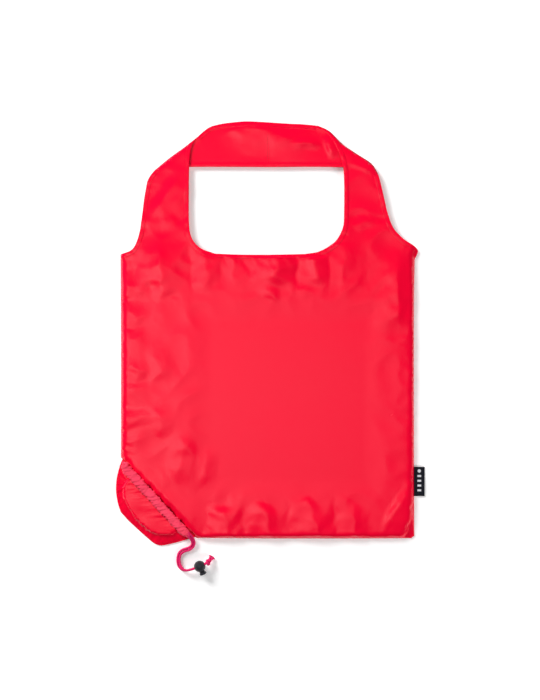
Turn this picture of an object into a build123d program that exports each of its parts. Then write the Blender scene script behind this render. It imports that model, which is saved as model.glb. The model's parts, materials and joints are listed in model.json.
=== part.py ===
from build123d import *
import math
import os

os.makedirs("parts", exist_ok=True)

# Foldable tote bag lying flat on its back, all sizes in millimetres.
# +X is the bag's right, +Y runs towards the handles, +Z is up.
# The origin is the middle of the body on the underside of the back panel.

# Body
body_width = 380.0
body_height = 370.0
fabric = 0.6              # cloth with its coating and hems, as one thickness
panel_gap = 6.0           # room between the front and back panel
seam_flange = 4.0         # flat sewn margin round the closed edges
side_slope = 16.0         # how far the front panel takes to rise to its full height
corner_run = 104.6        # the lower left corner is cut off along the bottom edge by this
corner_rise = 112.5       # and up the side by this

# Neck, armholes and handles
arm_curve = (6.5, 9.5)    # middle of the armhole's curve, outside the leg and above the shoulder
neck_drop = 2.0
neck_radius = 20.0
hole_width = 202.0
hole_height = 114.7
strap_width = 58.3
leg_foot_width = 66.0     # a leg is wider where it grows out of the body
leg_top_width = 50.0
leg_tuck = 8.0            # how far a leg's inner edge runs up behind the band
leg_top_drop = 17.0       # under the band, where a leg's outer edge turns to the fold
hinge_rise = 22.0         # the handles fold over a line this far above the shoulders
fold_reach = 45.0         # lower end of the diagonal fold, outside the hand hole's edge
fold_lean = 9.0           # upper end of the fold, inside the hand hole's edge
crown_drop = 20.0
crown_run = 41.0
crown_dip = 2.0
crown_radius = 50.0
band_gap = 1.4            # clear height between a leg and the band folded behind it
hinge_clearance = 0.3

# Storage pouch in the cut corner
pouch_inset = 8.0         # from the side edge to the start of the mouth
pouch_mouth_end = 147.0
mouth_flare = 1.0         # the pouch's sides lean out this much at the mouth
pouch_depth = 50.5
pouch_base_start = 51.0
pouch_base_end = 118.0
pouch_shoulder = (26.0, 34.0)
pouch_gap = 4.8
pouch_slope = 9.0
pouch_flange = 3.0
pouch_round = 20.0
pouch_corner = 8.0
mouth_slot = 5.3          # open slot between the bag's corner and the casing
casing_width = 9.4
casing_wall = 0.4
casing_round = 0.7
casing_bore = 3.1
casing_start = 11.0
casing_end = 138.4

# Label, thread and cord
label_length = 38.0
label_reach = 14.4
label_ply = 0.35
label_height = 73.7       # middle of the label above the bottom edge
thread_width = 0.8
thread_height = 0.25
hem = 5.0
cut_past = 2.0            # a cut runs this far past the open end it makes
arm_hem_bend = (3.0, 4.0) # where the armhole's hem turns, outside the leg and above the shoulder
tack_length = 2.0
tack_inset = 0.6
tack_margin = 0.5
cord_diameter = 2.8
cord_play = 0.25          # room beside the cord inside the casing
strand_gap = 3.0          # between the two cords, side by side, where they leave the casing
turn_back = 4.5           # from the casing's closed end to where the cord doubles back
exit_inset = 2.0          # from the casing's edge to the middle of the first cord
ball_diameter = 15.0
lock_place = (-87.8, -220.9)
lock_turn = 25.0          # direction of the cord hole, from +X
lock_slot = (6.6, 3.4)    # the two cords pass one above the other
plunger_diameter = 8.0
plunger_clearance = 0.2
plunger_waist = 7.2
button_diameter = 9.0
plunger_reach = 11.9
plunger_travel = 2.6
plunger_seat = 2.4        # plunger behind the cord, from the middle of the ball
plunger_inset = 1.0       # its full width ends this far inside the ball's mouth
waist_slope = 0.5
flare_inset = 0.6         # the button's flare starts this far inside the ball when pressed
flare_length = 0.9
dome_height = 0.8
dome_lean = 1.12
lock_wall = 1.2
spring_diameter = 5.4
spring_wire = 0.4
spring_turns = 3.0
spring_clearance = 0.1    # at each end of the spring
knot_diameter = 8.6
knot_offset = 11.9        # from the middle of the ball to the middle of the knot
knot_drop = 1.2           # the knot sags below the middle of the ball
knot_wrap = 1.0           # half the thickness of the turn round the knot
knot_sink = 0.6           # how far the turn and the tails sink into the knot
tail_flare = 0.45         # the cut ends are this much wider all round
tail_ends = [(-73.6, -208.2, 1.9), (-70.2, -210.4, 1.9)]

half_width = body_width / 2
hole_half = hole_width / 2
bottom_y = -body_height / 2
shoulder_y = body_height / 2
neck_y = shoulder_y - neck_drop
hinge_y = shoulder_y + hinge_rise
band_low = neck_y + hole_height
band_high = band_low + strap_width
front_top = 2 * fabric + panel_gap
front_leg_z = front_top - fabric
front_band_z = front_leg_z - band_gap - fabric
back_band_z = fabric + band_gap
arm_x = hole_half + leg_foot_width
corner_low = (-half_width + corner_run, bottom_y)
corner_high = (-half_width, bottom_y + corner_rise)
mouth_plane = Plane(
    origin=(corner_high[0], corner_high[1], 0),
    x_dir=(corner_run, -corner_rise, 0),
    z_dir=(0, 0, 1),
)


def save(piece, name):
    piece.part.label = name
    export_step(piece.part, f"parts/{name}.step")


# Body outlines
with BuildSketch() as panel_outline:
    with BuildLine():
        arm_bend = (arm_x + arm_curve[0], shoulder_y + arm_curve[1])
        ThreePointArc((half_width, shoulder_y), arm_bend, (arm_x, hinge_y - hinge_clearance))
        Line((arm_x, hinge_y - hinge_clearance), (-arm_x, hinge_y - hinge_clearance))
        ThreePointArc(
            (-arm_x, hinge_y - hinge_clearance), (-arm_bend[0], arm_bend[1]), (-half_width, shoulder_y)
        )
        Polyline(
            (-half_width, shoulder_y),
            corner_high,
            corner_low,
            (half_width, bottom_y),
            (half_width, shoulder_y),
        )
    make_face()
    with Locations((0, neck_y + hole_height / 2)):
        RectangleRounded(hole_width, hole_height, neck_radius, mode=Mode.SUBTRACT)


def outline_at(plane, outline):
    # one flat outline placed on a plane
    with BuildSketch(plane) as placed:
        add(outline.sketch)
    return placed.sketch


def tray_at(height, inset):
    # the closed sides of the front panel at one height, run on past the open mouth
    top = hinge_y + 2 * side_slope
    with BuildSketch(Plane.XY.offset(height)) as tray:
        Polygon(
            corner_low, (half_width, bottom_y), (half_width, top), (-half_width, top), corner_high, align=None
        )
        offset(amount=-inset, kind=Kind.INTERSECTION)
    return tray.sketch.face()


def raised_form(lift):
    # the outer skin of the front panel, moved up by lift
    return [tray_at(fabric + lift, seam_flange), tray_at(front_top + lift, seam_flange + side_slope)]


wall_run = fabric * side_slope / (panel_gap + fabric)

with BuildPart() as front_panel:
    loft(raised_form(0), ruled=True)
    extrude(outline_at(Plane.XY.offset(fabric), panel_outline), amount=fabric)
    hollow = [
        tray_at(fabric, seam_flange + wall_run),
        tray_at(front_top - fabric, seam_flange + side_slope),
    ]
    loft(hollow, ruled=True, mode=Mode.SUBTRACT)
    extrude(outline_at(Plane.XY, panel_outline), amount=front_top, mode=Mode.INTERSECT)
save(front_panel, "front_panel")

with BuildPart() as back_panel:
    with BuildSketch():
        add(panel_outline.sketch)
    extrude(amount=fabric)
save(back_panel, "back_panel")

# Straps
leg_foot = hinge_y + hinge_clearance
fold_low = (-(hole_half + fold_reach), band_low)
fold_high = (-(hole_half - fold_lean), band_high - crown_drop)
crown = (-(hole_half - crown_run), band_high - crown_dip)

with BuildSketch() as leg_outline:
    Polygon(
        (-hole_half, leg_foot),
        (-hole_half, band_low + leg_tuck),
        fold_high,
        fold_low,
        (-(hole_half + leg_top_width), band_low - leg_top_drop),
        (-arm_x, leg_foot),
        align=None,
    )

with BuildSketch() as band_outline:
    Polygon((0, band_low), (0, band_high), crown, fold_high, fold_low, align=None)
    fillet(band_outline.vertices().sort_by_distance(crown)[0], crown_radius)

fold_length = math.dist(fold_low, fold_high)
fold_plane = Plane(
    origin=(fold_low[0], fold_low[1], 0),
    x_dir=(fold_high[0] - fold_low[0], fold_high[1] - fold_low[1], 0),
    z_dir=(0, 0, 1),
)


def fold_wall_at(height):
    # the folded edge that turns a leg into its band
    with BuildSketch(fold_plane.offset(height)) as wall:
        with Locations((fold_length / 2, -fabric / 2)):
            Rectangle(fold_length - 8 * fabric, fabric)
    return wall.sketch


with BuildPart() as front_strap_left:
    extrude(outline_at(Plane.XY.offset(front_leg_z), leg_outline), amount=fabric)
    extrude(outline_at(Plane.XY.offset(front_band_z), band_outline), amount=fabric)
    extrude(fold_wall_at(front_band_z), amount=front_top - front_band_z)
save(front_strap_left, "front_strap_left")

with BuildPart() as front_strap_right:
    mirror(front_strap_left.part, about=Plane.YZ)
save(front_strap_right, "front_strap_right")

with BuildPart() as back_strap_left:
    extrude(outline_at(Plane.XY, leg_outline), amount=fabric)
    extrude(outline_at(Plane.XY.offset(back_band_z), band_outline), amount=fabric)
    extrude(fold_wall_at(0), amount=back_band_z + fabric)
save(back_strap_left, "back_strap_left")

with BuildPart() as back_strap_right:
    mirror(back_strap_left.part, about=Plane.YZ)
save(back_strap_right, "back_strap_right")

# Pouch
pouch_shoulder_point = (pouch_shoulder[0], -pouch_shoulder[1])

with BuildSketch() as pouch_outline:
    with BuildLine():
        Polyline(
            (pouch_inset, -hinge_clearance),
            (pouch_inset - mouth_flare, -mouth_slot),
            pouch_shoulder_point,
            (pouch_base_start, -pouch_depth),
            (pouch_base_end, -pouch_depth),
            (pouch_mouth_end, -mouth_slot),
            (pouch_mouth_end - mouth_flare, -hinge_clearance),
            close=True,
        )
    make_face()
    corners = pouch_outline.vertices()
    fillet(corners.sort_by_distance((pouch_base_start, -pouch_depth))[0], pouch_round)
    fillet(corners.sort_by_distance(pouch_shoulder_point)[0], pouch_round)
    fillet(corners.sort_by_distance((pouch_base_end, -pouch_depth))[0], pouch_corner)

pouch_top = 2 * fabric + pouch_gap


def pouch_tray_at(height, inset):
    # the pouch's closed sides at one height, run on past its mouth
    with BuildSketch(mouth_plane.offset(height)) as tray:
        Polygon(
            (pouch_inset - mouth_flare, -mouth_slot),
            pouch_shoulder_point,
            (pouch_base_start, -pouch_depth),
            (pouch_base_end, -pouch_depth),
            (pouch_mouth_end, -mouth_slot),
            (pouch_mouth_end, 3 * pouch_slope),
            (pouch_inset - mouth_flare, 3 * pouch_slope),
            align=None,
        )
        offset(amount=-inset, kind=Kind.INTERSECTION)
    return tray.sketch.face()


pouch_wall_run = fabric * pouch_slope / (pouch_gap + fabric)

with BuildPart() as pouch_front:
    skin = [
        pouch_tray_at(fabric, pouch_flange),
        pouch_tray_at(pouch_top, pouch_flange + pouch_slope),
    ]
    loft(skin, ruled=True)
    extrude(outline_at(mouth_plane.offset(fabric), pouch_outline), amount=fabric)
    hollow = [
        pouch_tray_at(fabric, pouch_flange + pouch_wall_run),
        pouch_tray_at(pouch_top - fabric, pouch_flange + pouch_slope),
    ]
    loft(hollow, ruled=True, mode=Mode.SUBTRACT)
    extrude(outline_at(mouth_plane, pouch_outline), amount=pouch_top, mode=Mode.INTERSECT)
    # the mouth edge stops at the slot
    with BuildSketch(mouth_plane):
        with Locations((pouch_mouth_end / 2, -mouth_slot)):
            Rectangle(2 * pouch_mouth_end, 2 * mouth_slot, align=(Align.CENTER, Align.MIN))
    extrude(amount=pouch_top, mode=Mode.SUBTRACT)
save(pouch_front, "pouch_front")

with BuildPart() as pouch_back:
    with BuildSketch(mouth_plane):
        add(pouch_outline.sketch)
    extrude(amount=fabric)
save(pouch_back, "pouch_back")

casing_height = casing_bore + 2 * casing_wall
casing_middle = (casing_start + casing_end) / 2
casing_length = casing_end - casing_start
cord_level = pouch_top + casing_wall + casing_bore / 2

with BuildPart() as cord_casing:
    with BuildSketch(mouth_plane.offset(pouch_top)):
        with Locations((casing_middle, -mouth_slot - casing_width / 2)):
            Rectangle(casing_length, casing_width)
    extrude(amount=casing_height)
    along = Axis((0, 0, 0), (corner_run, -corner_rise, 0))
    fillet(cord_casing.edges().filter_by(along).group_by(Axis.Z)[-1], casing_round)
    with BuildSketch(mouth_plane.offset(pouch_top + casing_wall)):
        with Locations((casing_middle, -mouth_slot - casing_width / 2)):
            Rectangle(casing_length + cut_past, casing_width - 2 * casing_wall)
    extrude(amount=casing_bore, mode=Mode.SUBTRACT)
save(cord_casing, "cord_casing")

# Label
label_y = bottom_y + label_height
label_thick = 3 * label_ply

with BuildPart() as side_label:
    with BuildSketch():
        with Locations((half_width + label_reach / 2, label_y)):
            Rectangle(label_reach, label_length)
    extrude(amount=label_thick)
    # the room between its two plies, closed at the folded outer end
    with BuildSketch(Plane.XY.offset(label_ply)):
        with Locations((half_width + label_reach / 2 - label_ply, label_y)):
            Rectangle(label_reach, label_length + cut_past)
    extrude(amount=label_ply, mode=Mode.SUBTRACT)
save(side_label, "side_label")

# Seams and stitching
flange_top = 2 * fabric


def stitch_line(plane, points, radius=0.0):
    # a line of stitching of the thread's width along the points
    with BuildSketch(plane) as line:
        with BuildLine():
            if radius:
                FilletPolyline(*points, radius=radius)
            else:
                Polyline(*points)
        trace(line_width=thread_width)
    return line.sketch


margin = seam_flange / 2
mouth_length = math.hypot(corner_run, corner_rise)
flange_plane = Plane.XY.offset(flange_top)
left_x = -half_width + margin
right_x = half_width - margin

with BuildPart() as side_seam_left:
    side = [(left_x, corner_high[1] + hem), (left_x, shoulder_y - hem)]
    extrude(stitch_line(flange_plane, side), amount=thread_height)
save(side_seam_left, "side_seam_left")

with BuildPart() as side_seam_right:
    side = [(right_x, bottom_y + hem), (right_x, shoulder_y - hem)]
    extrude(stitch_line(flange_plane, side), amount=thread_height)
save(side_seam_right, "side_seam_right")

with BuildPart() as bottom_seam:
    base = [(corner_low[0] + hem, bottom_y + margin), (right_x - hem, bottom_y + margin)]
    extrude(stitch_line(flange_plane, base), amount=thread_height)
save(bottom_seam, "bottom_seam")

with BuildPart() as corner_seam:
    slant = [(hem, margin), (mouth_length - hem, margin)]
    extrude(stitch_line(mouth_plane.offset(flange_top), slant), amount=thread_height)
save(corner_seam, "corner_seam")

neck_out = hole_half + hem
neck_foot = hinge_y - 2 * hinge_clearance
neck_path = [
    (-neck_out, neck_foot), (-neck_out, neck_y - hem), (neck_out, neck_y - hem), (neck_out, neck_foot)
]

with BuildPart() as neck_hem_front:
    line = stitch_line(Plane.XY.offset(front_top), neck_path, neck_radius + hem)
    extrude(line, amount=thread_height)
save(neck_hem_front, "neck_hem_front")

with BuildPart() as neck_hem_back:
    line = stitch_line(Plane.XY.offset(fabric), neck_path, neck_radius + hem)
    extrude(line, amount=thread_height)
save(neck_hem_back, "neck_hem_back")

arm_path = [
    (half_width - 1.5 * hem, shoulder_y - hem),
    (arm_x + arm_hem_bend[0], shoulder_y + arm_hem_bend[1]),
    (arm_x - hem, neck_foot),
]

with BuildPart() as arm_hem_front:
    # follows the front panel down its slope
    prism = stitch_line(Plane.XY, arm_path, neck_radius)
    extrude(prism, amount=front_top + cut_past)
    loft(raised_form(thread_height), ruled=True, mode=Mode.INTERSECT)
    loft(raised_form(0), ruled=True, mode=Mode.SUBTRACT)
    mirror(about=Plane.YZ)
save(arm_hem_front, "arm_hem_front")

with BuildPart() as arm_hem_back:
    extrude(stitch_line(Plane.XY.offset(fabric), arm_path, neck_radius), amount=thread_height)
    mirror(about=Plane.YZ)
save(arm_hem_back, "arm_hem_back")

leg_inner = [(-neck_out, leg_foot + hinge_clearance), (-neck_out, band_low - hem)]
leg_outer = [
    (-arm_x + hem, leg_foot + hinge_clearance),
    (-(hole_half + leg_top_width) + hem, band_low - leg_top_drop),
]
band_lower = [(-hole_half + hem, band_low + hem), (-thread_width, band_low + hem)]
band_upper = [(crown[0] + hem, band_high - hem), (-thread_width, band_high - hem)]

with BuildPart() as front_strap_hems:
    leg_face = Plane.XY.offset(front_top)
    extrude(stitch_line(leg_face, leg_inner), amount=thread_height)
    extrude(stitch_line(leg_face, leg_outer), amount=thread_height)
    band_face = Plane.XY.offset(front_band_z + fabric)
    extrude(stitch_line(band_face, band_lower), amount=thread_height)
    extrude(stitch_line(band_face, band_upper), amount=thread_height)
    mirror(about=Plane.YZ)
save(front_strap_hems, "front_strap_hems")

with BuildPart() as back_strap_hems:
    leg_face = Plane.XY.offset(fabric)
    extrude(stitch_line(leg_face, leg_inner), amount=thread_height)
    extrude(stitch_line(leg_face, leg_outer), amount=thread_height)
    band_face = Plane.XY.offset(back_band_z + fabric)
    extrude(stitch_line(band_face, band_lower), amount=thread_height)
    extrude(stitch_line(band_face, band_upper), amount=thread_height)
    mirror(about=Plane.YZ)
save(back_strap_hems, "back_strap_hems")

join = [(0, band_low + 2 * hem), (0, band_high - 2 * hem)]

with BuildPart() as front_join_seam:
    extrude(stitch_line(Plane.XY.offset(front_band_z + fabric), join), amount=thread_height)
save(front_join_seam, "front_join_seam")

with BuildPart() as back_join_seam:
    extrude(stitch_line(Plane.XY.offset(back_band_z + fabric), join), amount=thread_height)
save(back_join_seam, "back_join_seam")

pouch_margin = pouch_flange / 2

with BuildPart() as pouch_seam:
    # just inside the pouch's rounded edge, on its flat margin
    with BuildSketch(mouth_plane.offset(flange_top)):
        add(pouch_outline.sketch)
        offset(amount=-pouch_margin + thread_width / 2)
        with BuildSketch(mode=Mode.PRIVATE) as inner:
            add(pouch_outline.sketch)
            offset(amount=-pouch_margin - thread_width / 2)
        add(inner.sketch, mode=Mode.SUBTRACT)
        with Locations((pouch_mouth_end / 2, -mouth_slot - hem)):
            Rectangle(2 * pouch_mouth_end, pouch_depth, align=(Align.CENTER, Align.MIN), mode=Mode.SUBTRACT)
    extrude(amount=thread_height)
save(pouch_seam, "pouch_seam")

with BuildPart() as casing_stitch:
    edge = -mouth_slot - casing_width - thread_width
    run = [(casing_start + 2 * hem, edge), (casing_end - 2 * hem, edge)]
    extrude(stitch_line(mouth_plane.offset(pouch_top), run), amount=thread_height)
save(casing_stitch, "casing_stitch")

with BuildPart() as casing_bar_tack:
    # a close zigzag that holds the casing's closed end
    with BuildSketch(mouth_plane.offset(pouch_top + casing_height)):
        with Locations((casing_start + tack_inset + tack_length / 2, -mouth_slot - casing_width / 2)):
            Rectangle(tack_length, casing_width - 2 * (casing_round + tack_margin))
    extrude(amount=thread_height)
save(casing_bar_tack, "casing_bar_tack")

with BuildPart() as label_stitch:
    label_x = half_width - margin - 2 * thread_width
    tack = [(label_x, label_y - label_length / 2), (label_x, label_y + label_length / 2)]
    extrude(stitch_line(flange_plane, tack), amount=thread_height)
save(label_stitch, "label_stitch")

# Drawcord
# Both cords leave the casing side by side, bend round to the bag's edge on the
# table and rise to pass one above the other through the lock.
inner_route = [
    (-101.0, -178.8, 8.0),
    (-92.9, -187.6, 5.0),
    (-97.2, -199.9, 1.5),
    (-111.6, -203.5, 1.45),
    (-114.4, -212.5, 1.6),
    (-111.6, -222.0, 5.3),
    (-103.66, -228.3, 9.0),
    (-81.4, -217.9, 9.0),
]
outer_route = [
    (-103.4, -180.9, 8.0),
    (-96.4, -188.5, 5.0),
    (-99.5, -196.9, 1.5),
    (-114.2, -200.5, 1.45),
    (-117.9, -212.5, 1.5),
    (-114.9, -224.3, 2.0),
    (-103.66, -228.3, 6.0),
    (-81.4, -217.9, 6.0),
]


def bend_radii(name, route):
    # each bend is as large as its two runs allow
    points = [Vector(*point) for point in route]
    radii = []
    for before, here, after in zip(points, points[1:], points[2:]):
        turn = (here - before).get_angle(after - here)
        shorter = min((here - before).length, (after - here).length)
        radii.append(0.45 * shorter / math.tan(math.radians(turn / 2)))
    print(name, "radii", [round(radius, 1) for radius in radii])
    return radii


def cord_path(name, route):
    with BuildLine() as path:
        FilletPolyline(*route, radius=bend_radii(name, route))
    return path


def check_tube(piece, path):
    length = path.wire().length
    ratio = piece.part.volume / (math.pi * cord_diameter**2 / 4 * length)
    print(piece.part.label, "length", round(length, 1), "volume over section times length", round(ratio, 4))


inner_path = cord_path("inner", inner_route)
outer_path = cord_path("outer", outer_route)

with BuildPart() as cord_strand_inner:
    with BuildSketch(Plane(inner_path.wire() @ 0, z_dir=inner_path.wire() % 0)):
        Circle(cord_diameter / 2)
    sweep(path=inner_path.wire())
save(cord_strand_inner, "cord_strand_inner")
check_tube(cord_strand_inner, inner_path)

with BuildPart() as cord_strand_outer:
    with BuildSketch(Plane(outer_path.wire() @ 0, z_dir=outer_path.wire() % 0)):
        Circle(cord_diameter / 2)
    sweep(path=outer_path.wire())
save(cord_strand_outer, "cord_strand_outer")
check_tube(cord_strand_outer, outer_path)

# the same cord inside the casing, doubled back at the closed end
turn_at = casing_start + turn_back
near = -mouth_slot - casing_wall - cord_diameter / 2 - cord_play
far = -mouth_slot - casing_width + casing_wall + cord_diameter / 2 + cord_play
near_exit = -mouth_slot - exit_inset
far_exit = near_exit - strand_gap
turn_radius = 0.98 * (near - far) / 2

with BuildLine(mouth_plane.offset(cord_level)) as hidden_path:
    FilletPolyline(
        (casing_end, near_exit), (turn_at, near), (turn_at, far), (casing_end, far_exit), radius=turn_radius
    )

with BuildPart() as cord_in_casing:
    with BuildSketch(Plane(hidden_path.wire() @ 0, z_dir=hidden_path.wire() % 0)):
        Circle(cord_diameter / 2)
    sweep(path=hidden_path.wire())
save(cord_in_casing, "cord_in_casing")
check_tube(cord_in_casing, hidden_path)

# Knot and cut ends
ball_radius = ball_diameter / 2
along_cord = Vector(math.cos(math.radians(lock_turn)), math.sin(math.radians(lock_turn)), 0)
ball_middle = Vector(lock_place[0], lock_place[1], ball_radius)
knot_middle = ball_middle + along_cord * knot_offset - Vector(0, 0, knot_drop)

with BuildPart() as cord_knot:
    with Locations(knot_middle):
        Sphere(knot_diameter / 2)
    with Locations(Plane(knot_middle, z_dir=along_cord)):
        Torus(knot_diameter / 2 - knot_sink, knot_wrap)
save(cord_knot, "cord_knot")

with BuildPart() as cord_tails:
    for end in [Vector(*place) for place in tail_ends]:
        start = knot_middle + (end - knot_middle).normalized() * (knot_diameter / 2 - knot_sink)
        with BuildSketch(Plane(start, z_dir=end - start)):
            Circle(cord_diameter / 2)
        with BuildSketch(Plane(end, z_dir=end - start)):
            Circle(cord_diameter / 2 + tail_flare)
        loft()
save(cord_tails, "cord_tails")

# Cord lock
hole_plane = Plane(ball_middle, x_dir=(0, 0, 1), z_dir=along_cord)
press_axis = Vector(along_cord.Y, -along_cord.X, 0)
pocket_end = ball_radius - lock_wall
bore_end = plunger_seat + plunger_travel + plunger_clearance
bore_radius = plunger_diameter / 2 + plunger_clearance
bore_mouth = math.sqrt(ball_radius**2 - bore_radius**2)

with BuildPart() as lock_ball:
    with Locations(ball_middle):
        Sphere(ball_radius)
    with BuildSketch(Plane(ball_middle - press_axis * bore_end, z_dir=press_axis)):
        Circle(bore_radius)
    extrude(amount=ball_diameter, mode=Mode.SUBTRACT)
    # a narrower pocket at the blind end keeps the spring central
    with BuildSketch(Plane(ball_middle - press_axis * pocket_end, z_dir=press_axis)):
        Circle(spring_diameter / 2 + plunger_clearance)
    extrude(amount=ball_radius, mode=Mode.SUBTRACT)
    with BuildSketch(hole_plane):
        SlotOverall(*lock_slot)
    extrude(amount=ball_diameter, both=True, mode=Mode.SUBTRACT)
save(lock_ball, "lock_ball")

body_reach = bore_mouth - plunger_inset
waist_start = body_reach + waist_slope
flare_start = bore_mouth + plunger_travel - flare_inset
flare_end = flare_start + flare_length

with BuildPart() as lock_plunger:
    with BuildSketch(Plane(ball_middle, x_dir=press_axis, z_dir=(0, 0, 1))) as plunger_profile:
        Polygon(
            (-plunger_seat, 0),
            (-plunger_seat, plunger_diameter / 2),
            (body_reach, plunger_diameter / 2),
            (waist_start, plunger_waist / 2),
            (flare_start, plunger_waist / 2),
            (flare_end, button_diameter / 2),
            (plunger_reach - dome_height, button_diameter / 2),
            (plunger_reach, button_diameter / 2 - dome_lean),
            (plunger_reach, 0),
            align=None,
        )
    revolve(axis=Axis(ball_middle, press_axis))
    # the cross hole is long enough for the plunger to travel round the cords
    hole_back = cord_diameter / 2 + plunger_clearance
    hole_front = hole_back + plunger_travel
    with BuildSketch(hole_plane):
        with Locations((0, (hole_front - hole_back) / 2)):
            Rectangle(lock_slot[0], hole_back + hole_front)
    extrude(amount=ball_diameter, both=True, mode=Mode.SUBTRACT)
save(lock_plunger, "lock_plunger")

spring_room = pocket_end - plunger_seat - spring_wire - 2 * spring_clearance
with BuildPart() as lock_spring:
    spring_start = ball_middle - press_axis * (pocket_end - spring_wire / 2 - spring_clearance)
    with BuildLine() as coil:
        Helix(
            pitch=spring_room / spring_turns,
            height=spring_room,
            radius=(spring_diameter - spring_wire) / 2,
            center=spring_start,
            direction=press_axis,
        )
    with BuildSketch(Plane(coil.wire() @ 0, z_dir=coil.wire() % 0)):
        Circle(spring_wire / 2)
    sweep(path=coil.wire(), is_frenet=True)
save(lock_spring, "lock_spring")
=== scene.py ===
import json
import math

import bmesh
import bpy
import numpy as np
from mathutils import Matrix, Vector, noise
from mathutils.bvhtree import BVHTree
from mathutils.geometry import delaunay_2d_cdt


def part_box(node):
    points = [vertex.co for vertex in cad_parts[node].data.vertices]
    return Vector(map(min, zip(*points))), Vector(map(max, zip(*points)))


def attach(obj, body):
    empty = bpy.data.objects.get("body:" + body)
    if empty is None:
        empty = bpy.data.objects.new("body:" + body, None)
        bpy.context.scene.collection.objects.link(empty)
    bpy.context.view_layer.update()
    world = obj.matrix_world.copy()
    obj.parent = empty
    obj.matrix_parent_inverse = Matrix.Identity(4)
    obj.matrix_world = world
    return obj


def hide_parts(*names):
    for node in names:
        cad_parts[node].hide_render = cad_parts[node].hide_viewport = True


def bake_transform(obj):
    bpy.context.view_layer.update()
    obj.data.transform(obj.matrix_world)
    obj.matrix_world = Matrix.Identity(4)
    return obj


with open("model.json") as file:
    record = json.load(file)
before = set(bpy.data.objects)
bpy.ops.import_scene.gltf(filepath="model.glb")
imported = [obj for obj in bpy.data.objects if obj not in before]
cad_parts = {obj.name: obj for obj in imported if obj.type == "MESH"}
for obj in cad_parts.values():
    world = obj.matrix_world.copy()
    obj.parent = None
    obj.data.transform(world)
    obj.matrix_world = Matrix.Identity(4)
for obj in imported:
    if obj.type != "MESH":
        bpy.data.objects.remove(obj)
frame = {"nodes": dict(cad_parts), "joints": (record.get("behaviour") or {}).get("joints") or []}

scene = bpy.context.scene
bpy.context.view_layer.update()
mm = 0.001      # every size below is in millimetres unless a light or the camera has it

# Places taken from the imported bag, in millimetres
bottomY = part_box("front_panel")[0][1] / mm
hinges = {j["name"]: j for j in frame["joints"]}
mouthDir = Vector(hinges["pouch_fold"]["axis"])
mouthStart = Vector(hinges["pouch_fold"]["pos_m"]) / mm
mouthOut = Vector((mouthDir.y, -mouthDir.x, 0))


def atMouth(along, out, z=0.0):
    # a place measured along the pouch mouth and outwards from it
    spot = mouthStart + mouthDir * along + mouthOut * out
    return (spot.x, spot.y, z)


view = {"lens": 85, "sensor": 36, "distance": 2.15, "centre": (0.0033, 0.0596), "farthest": 20,      # metres
        "floorSide": 6.0, "floorLevel": -0.0004}


def makeStage():
    camera = bpy.data.objects.new("camera", bpy.data.cameras.new("camera"))
    camera.data.lens = view["lens"]
    camera.data.sensor_width = view["sensor"]
    camera.location = (view["centre"][0], view["centre"][1], view["distance"])
    camera.data.clip_end = view["farthest"]
    scene.collection.objects.link(camera)
    scene.camera = camera
    bpy.ops.mesh.primitive_plane_add(size=view["floorSide"], location=(0, 0, view["floorLevel"]))
    floor = bpy.context.object
    floor.name = "floor"
    scene.view_settings.view_transform = "Standard"
    scene.view_settings.look = "None"
    return floor


# metres and watts
lights = {
    "key": {"at": (-1.9, 1.9, 1.3), "side": (1.5, 1.5), "power": 150},       # low, gives the form
    "box": {"at": (-0.31, -0.105, 2.35), "side": (1.40, 0.87), "power": 2.9},  # overhead, the satin gloss
    "strip": {"at": (-0.8, -0.025, 2.33), "side": (0.8, 0.71), "power": 2.2},  # more on slopes to the left
    "fill": {"at": (2.4, -1.6, 1.3), "side": (1.2, 1.2), "power": 68},
}
overhead = ("box", "strip")      # these hang straight above, and only they show in the cloth's gloss
sky = 0.03


def makeLights():
    for name, light in lights.items():
        lamp = bpy.data.lights.new(name, "AREA")
        lamp.shape = "RECTANGLE"
        lamp.size, lamp.size_y = light["side"]
        lamp.energy = light["power"]
        holder = bpy.data.objects.new(name, lamp)
        holder.location = light["at"]
        aim = Vector((0, 0, -1)) if name in overhead else -Vector(light["at"])
        holder.rotation_euler = aim.to_track_quat("-Z", "Y").to_euler()
        holder.visible_glossy = name in overhead
        scene.collection.objects.link(holder)
    world = bpy.data.worlds.new("sky")
    world.use_nodes = True
    background = world.node_tree.nodes["Background"]
    background.inputs["Color"].default_value = (1, 1, 1, 1)
    background.inputs["Strength"].default_value = sky
    scene.world = world


def toLinear(hexText):
    parts = [int(hexText[i:i + 2], 16) / 255 for i in (0, 2, 4)]
    return [p / 12.92 if p <= 0.04045 else ((p + 0.055) / 1.055) ** 2.4 for p in parts] + [1.0]


def addNode(tree, kind, inputs=None, **settings):
    made = tree.nodes.new(kind)
    for name, value in settings.items():
        setattr(made, name, value)
    for name, value in (inputs or {}).items():
        if isinstance(value, bpy.types.NodeSocket):
            tree.links.new(value, made.inputs[name])
        else:
            made.inputs[name].default_value = value
    return made


def newMaterial(name):
    material = bpy.data.materials.new(name)
    material.use_nodes = True
    tree = material.node_tree
    shader = tree.nodes["Principled BSDF"]
    return material, tree, shader


def mixTones(tree, factor, first, second):
    # two sRGB hex tones mixed by a value
    tone = addNode(tree, "ShaderNodeMix", {"Factor": factor}, data_type="RGBA")
    tone.inputs["A"].default_value = toLinear(first)
    tone.inputs["B"].default_value = toLinear(second)
    return tone.outputs["Result"]


cloth = {
    "colour": "fa0234", "shade": "f4002e", "roughness": 0.25, "glossSpread": 0.05,
    "threadPitch": 1.1,      # real taffeta has 0.25 mm threads, drawn coarser so that they show
    "weaveBump": 0.10, "cloud": 9.0,
}


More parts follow.
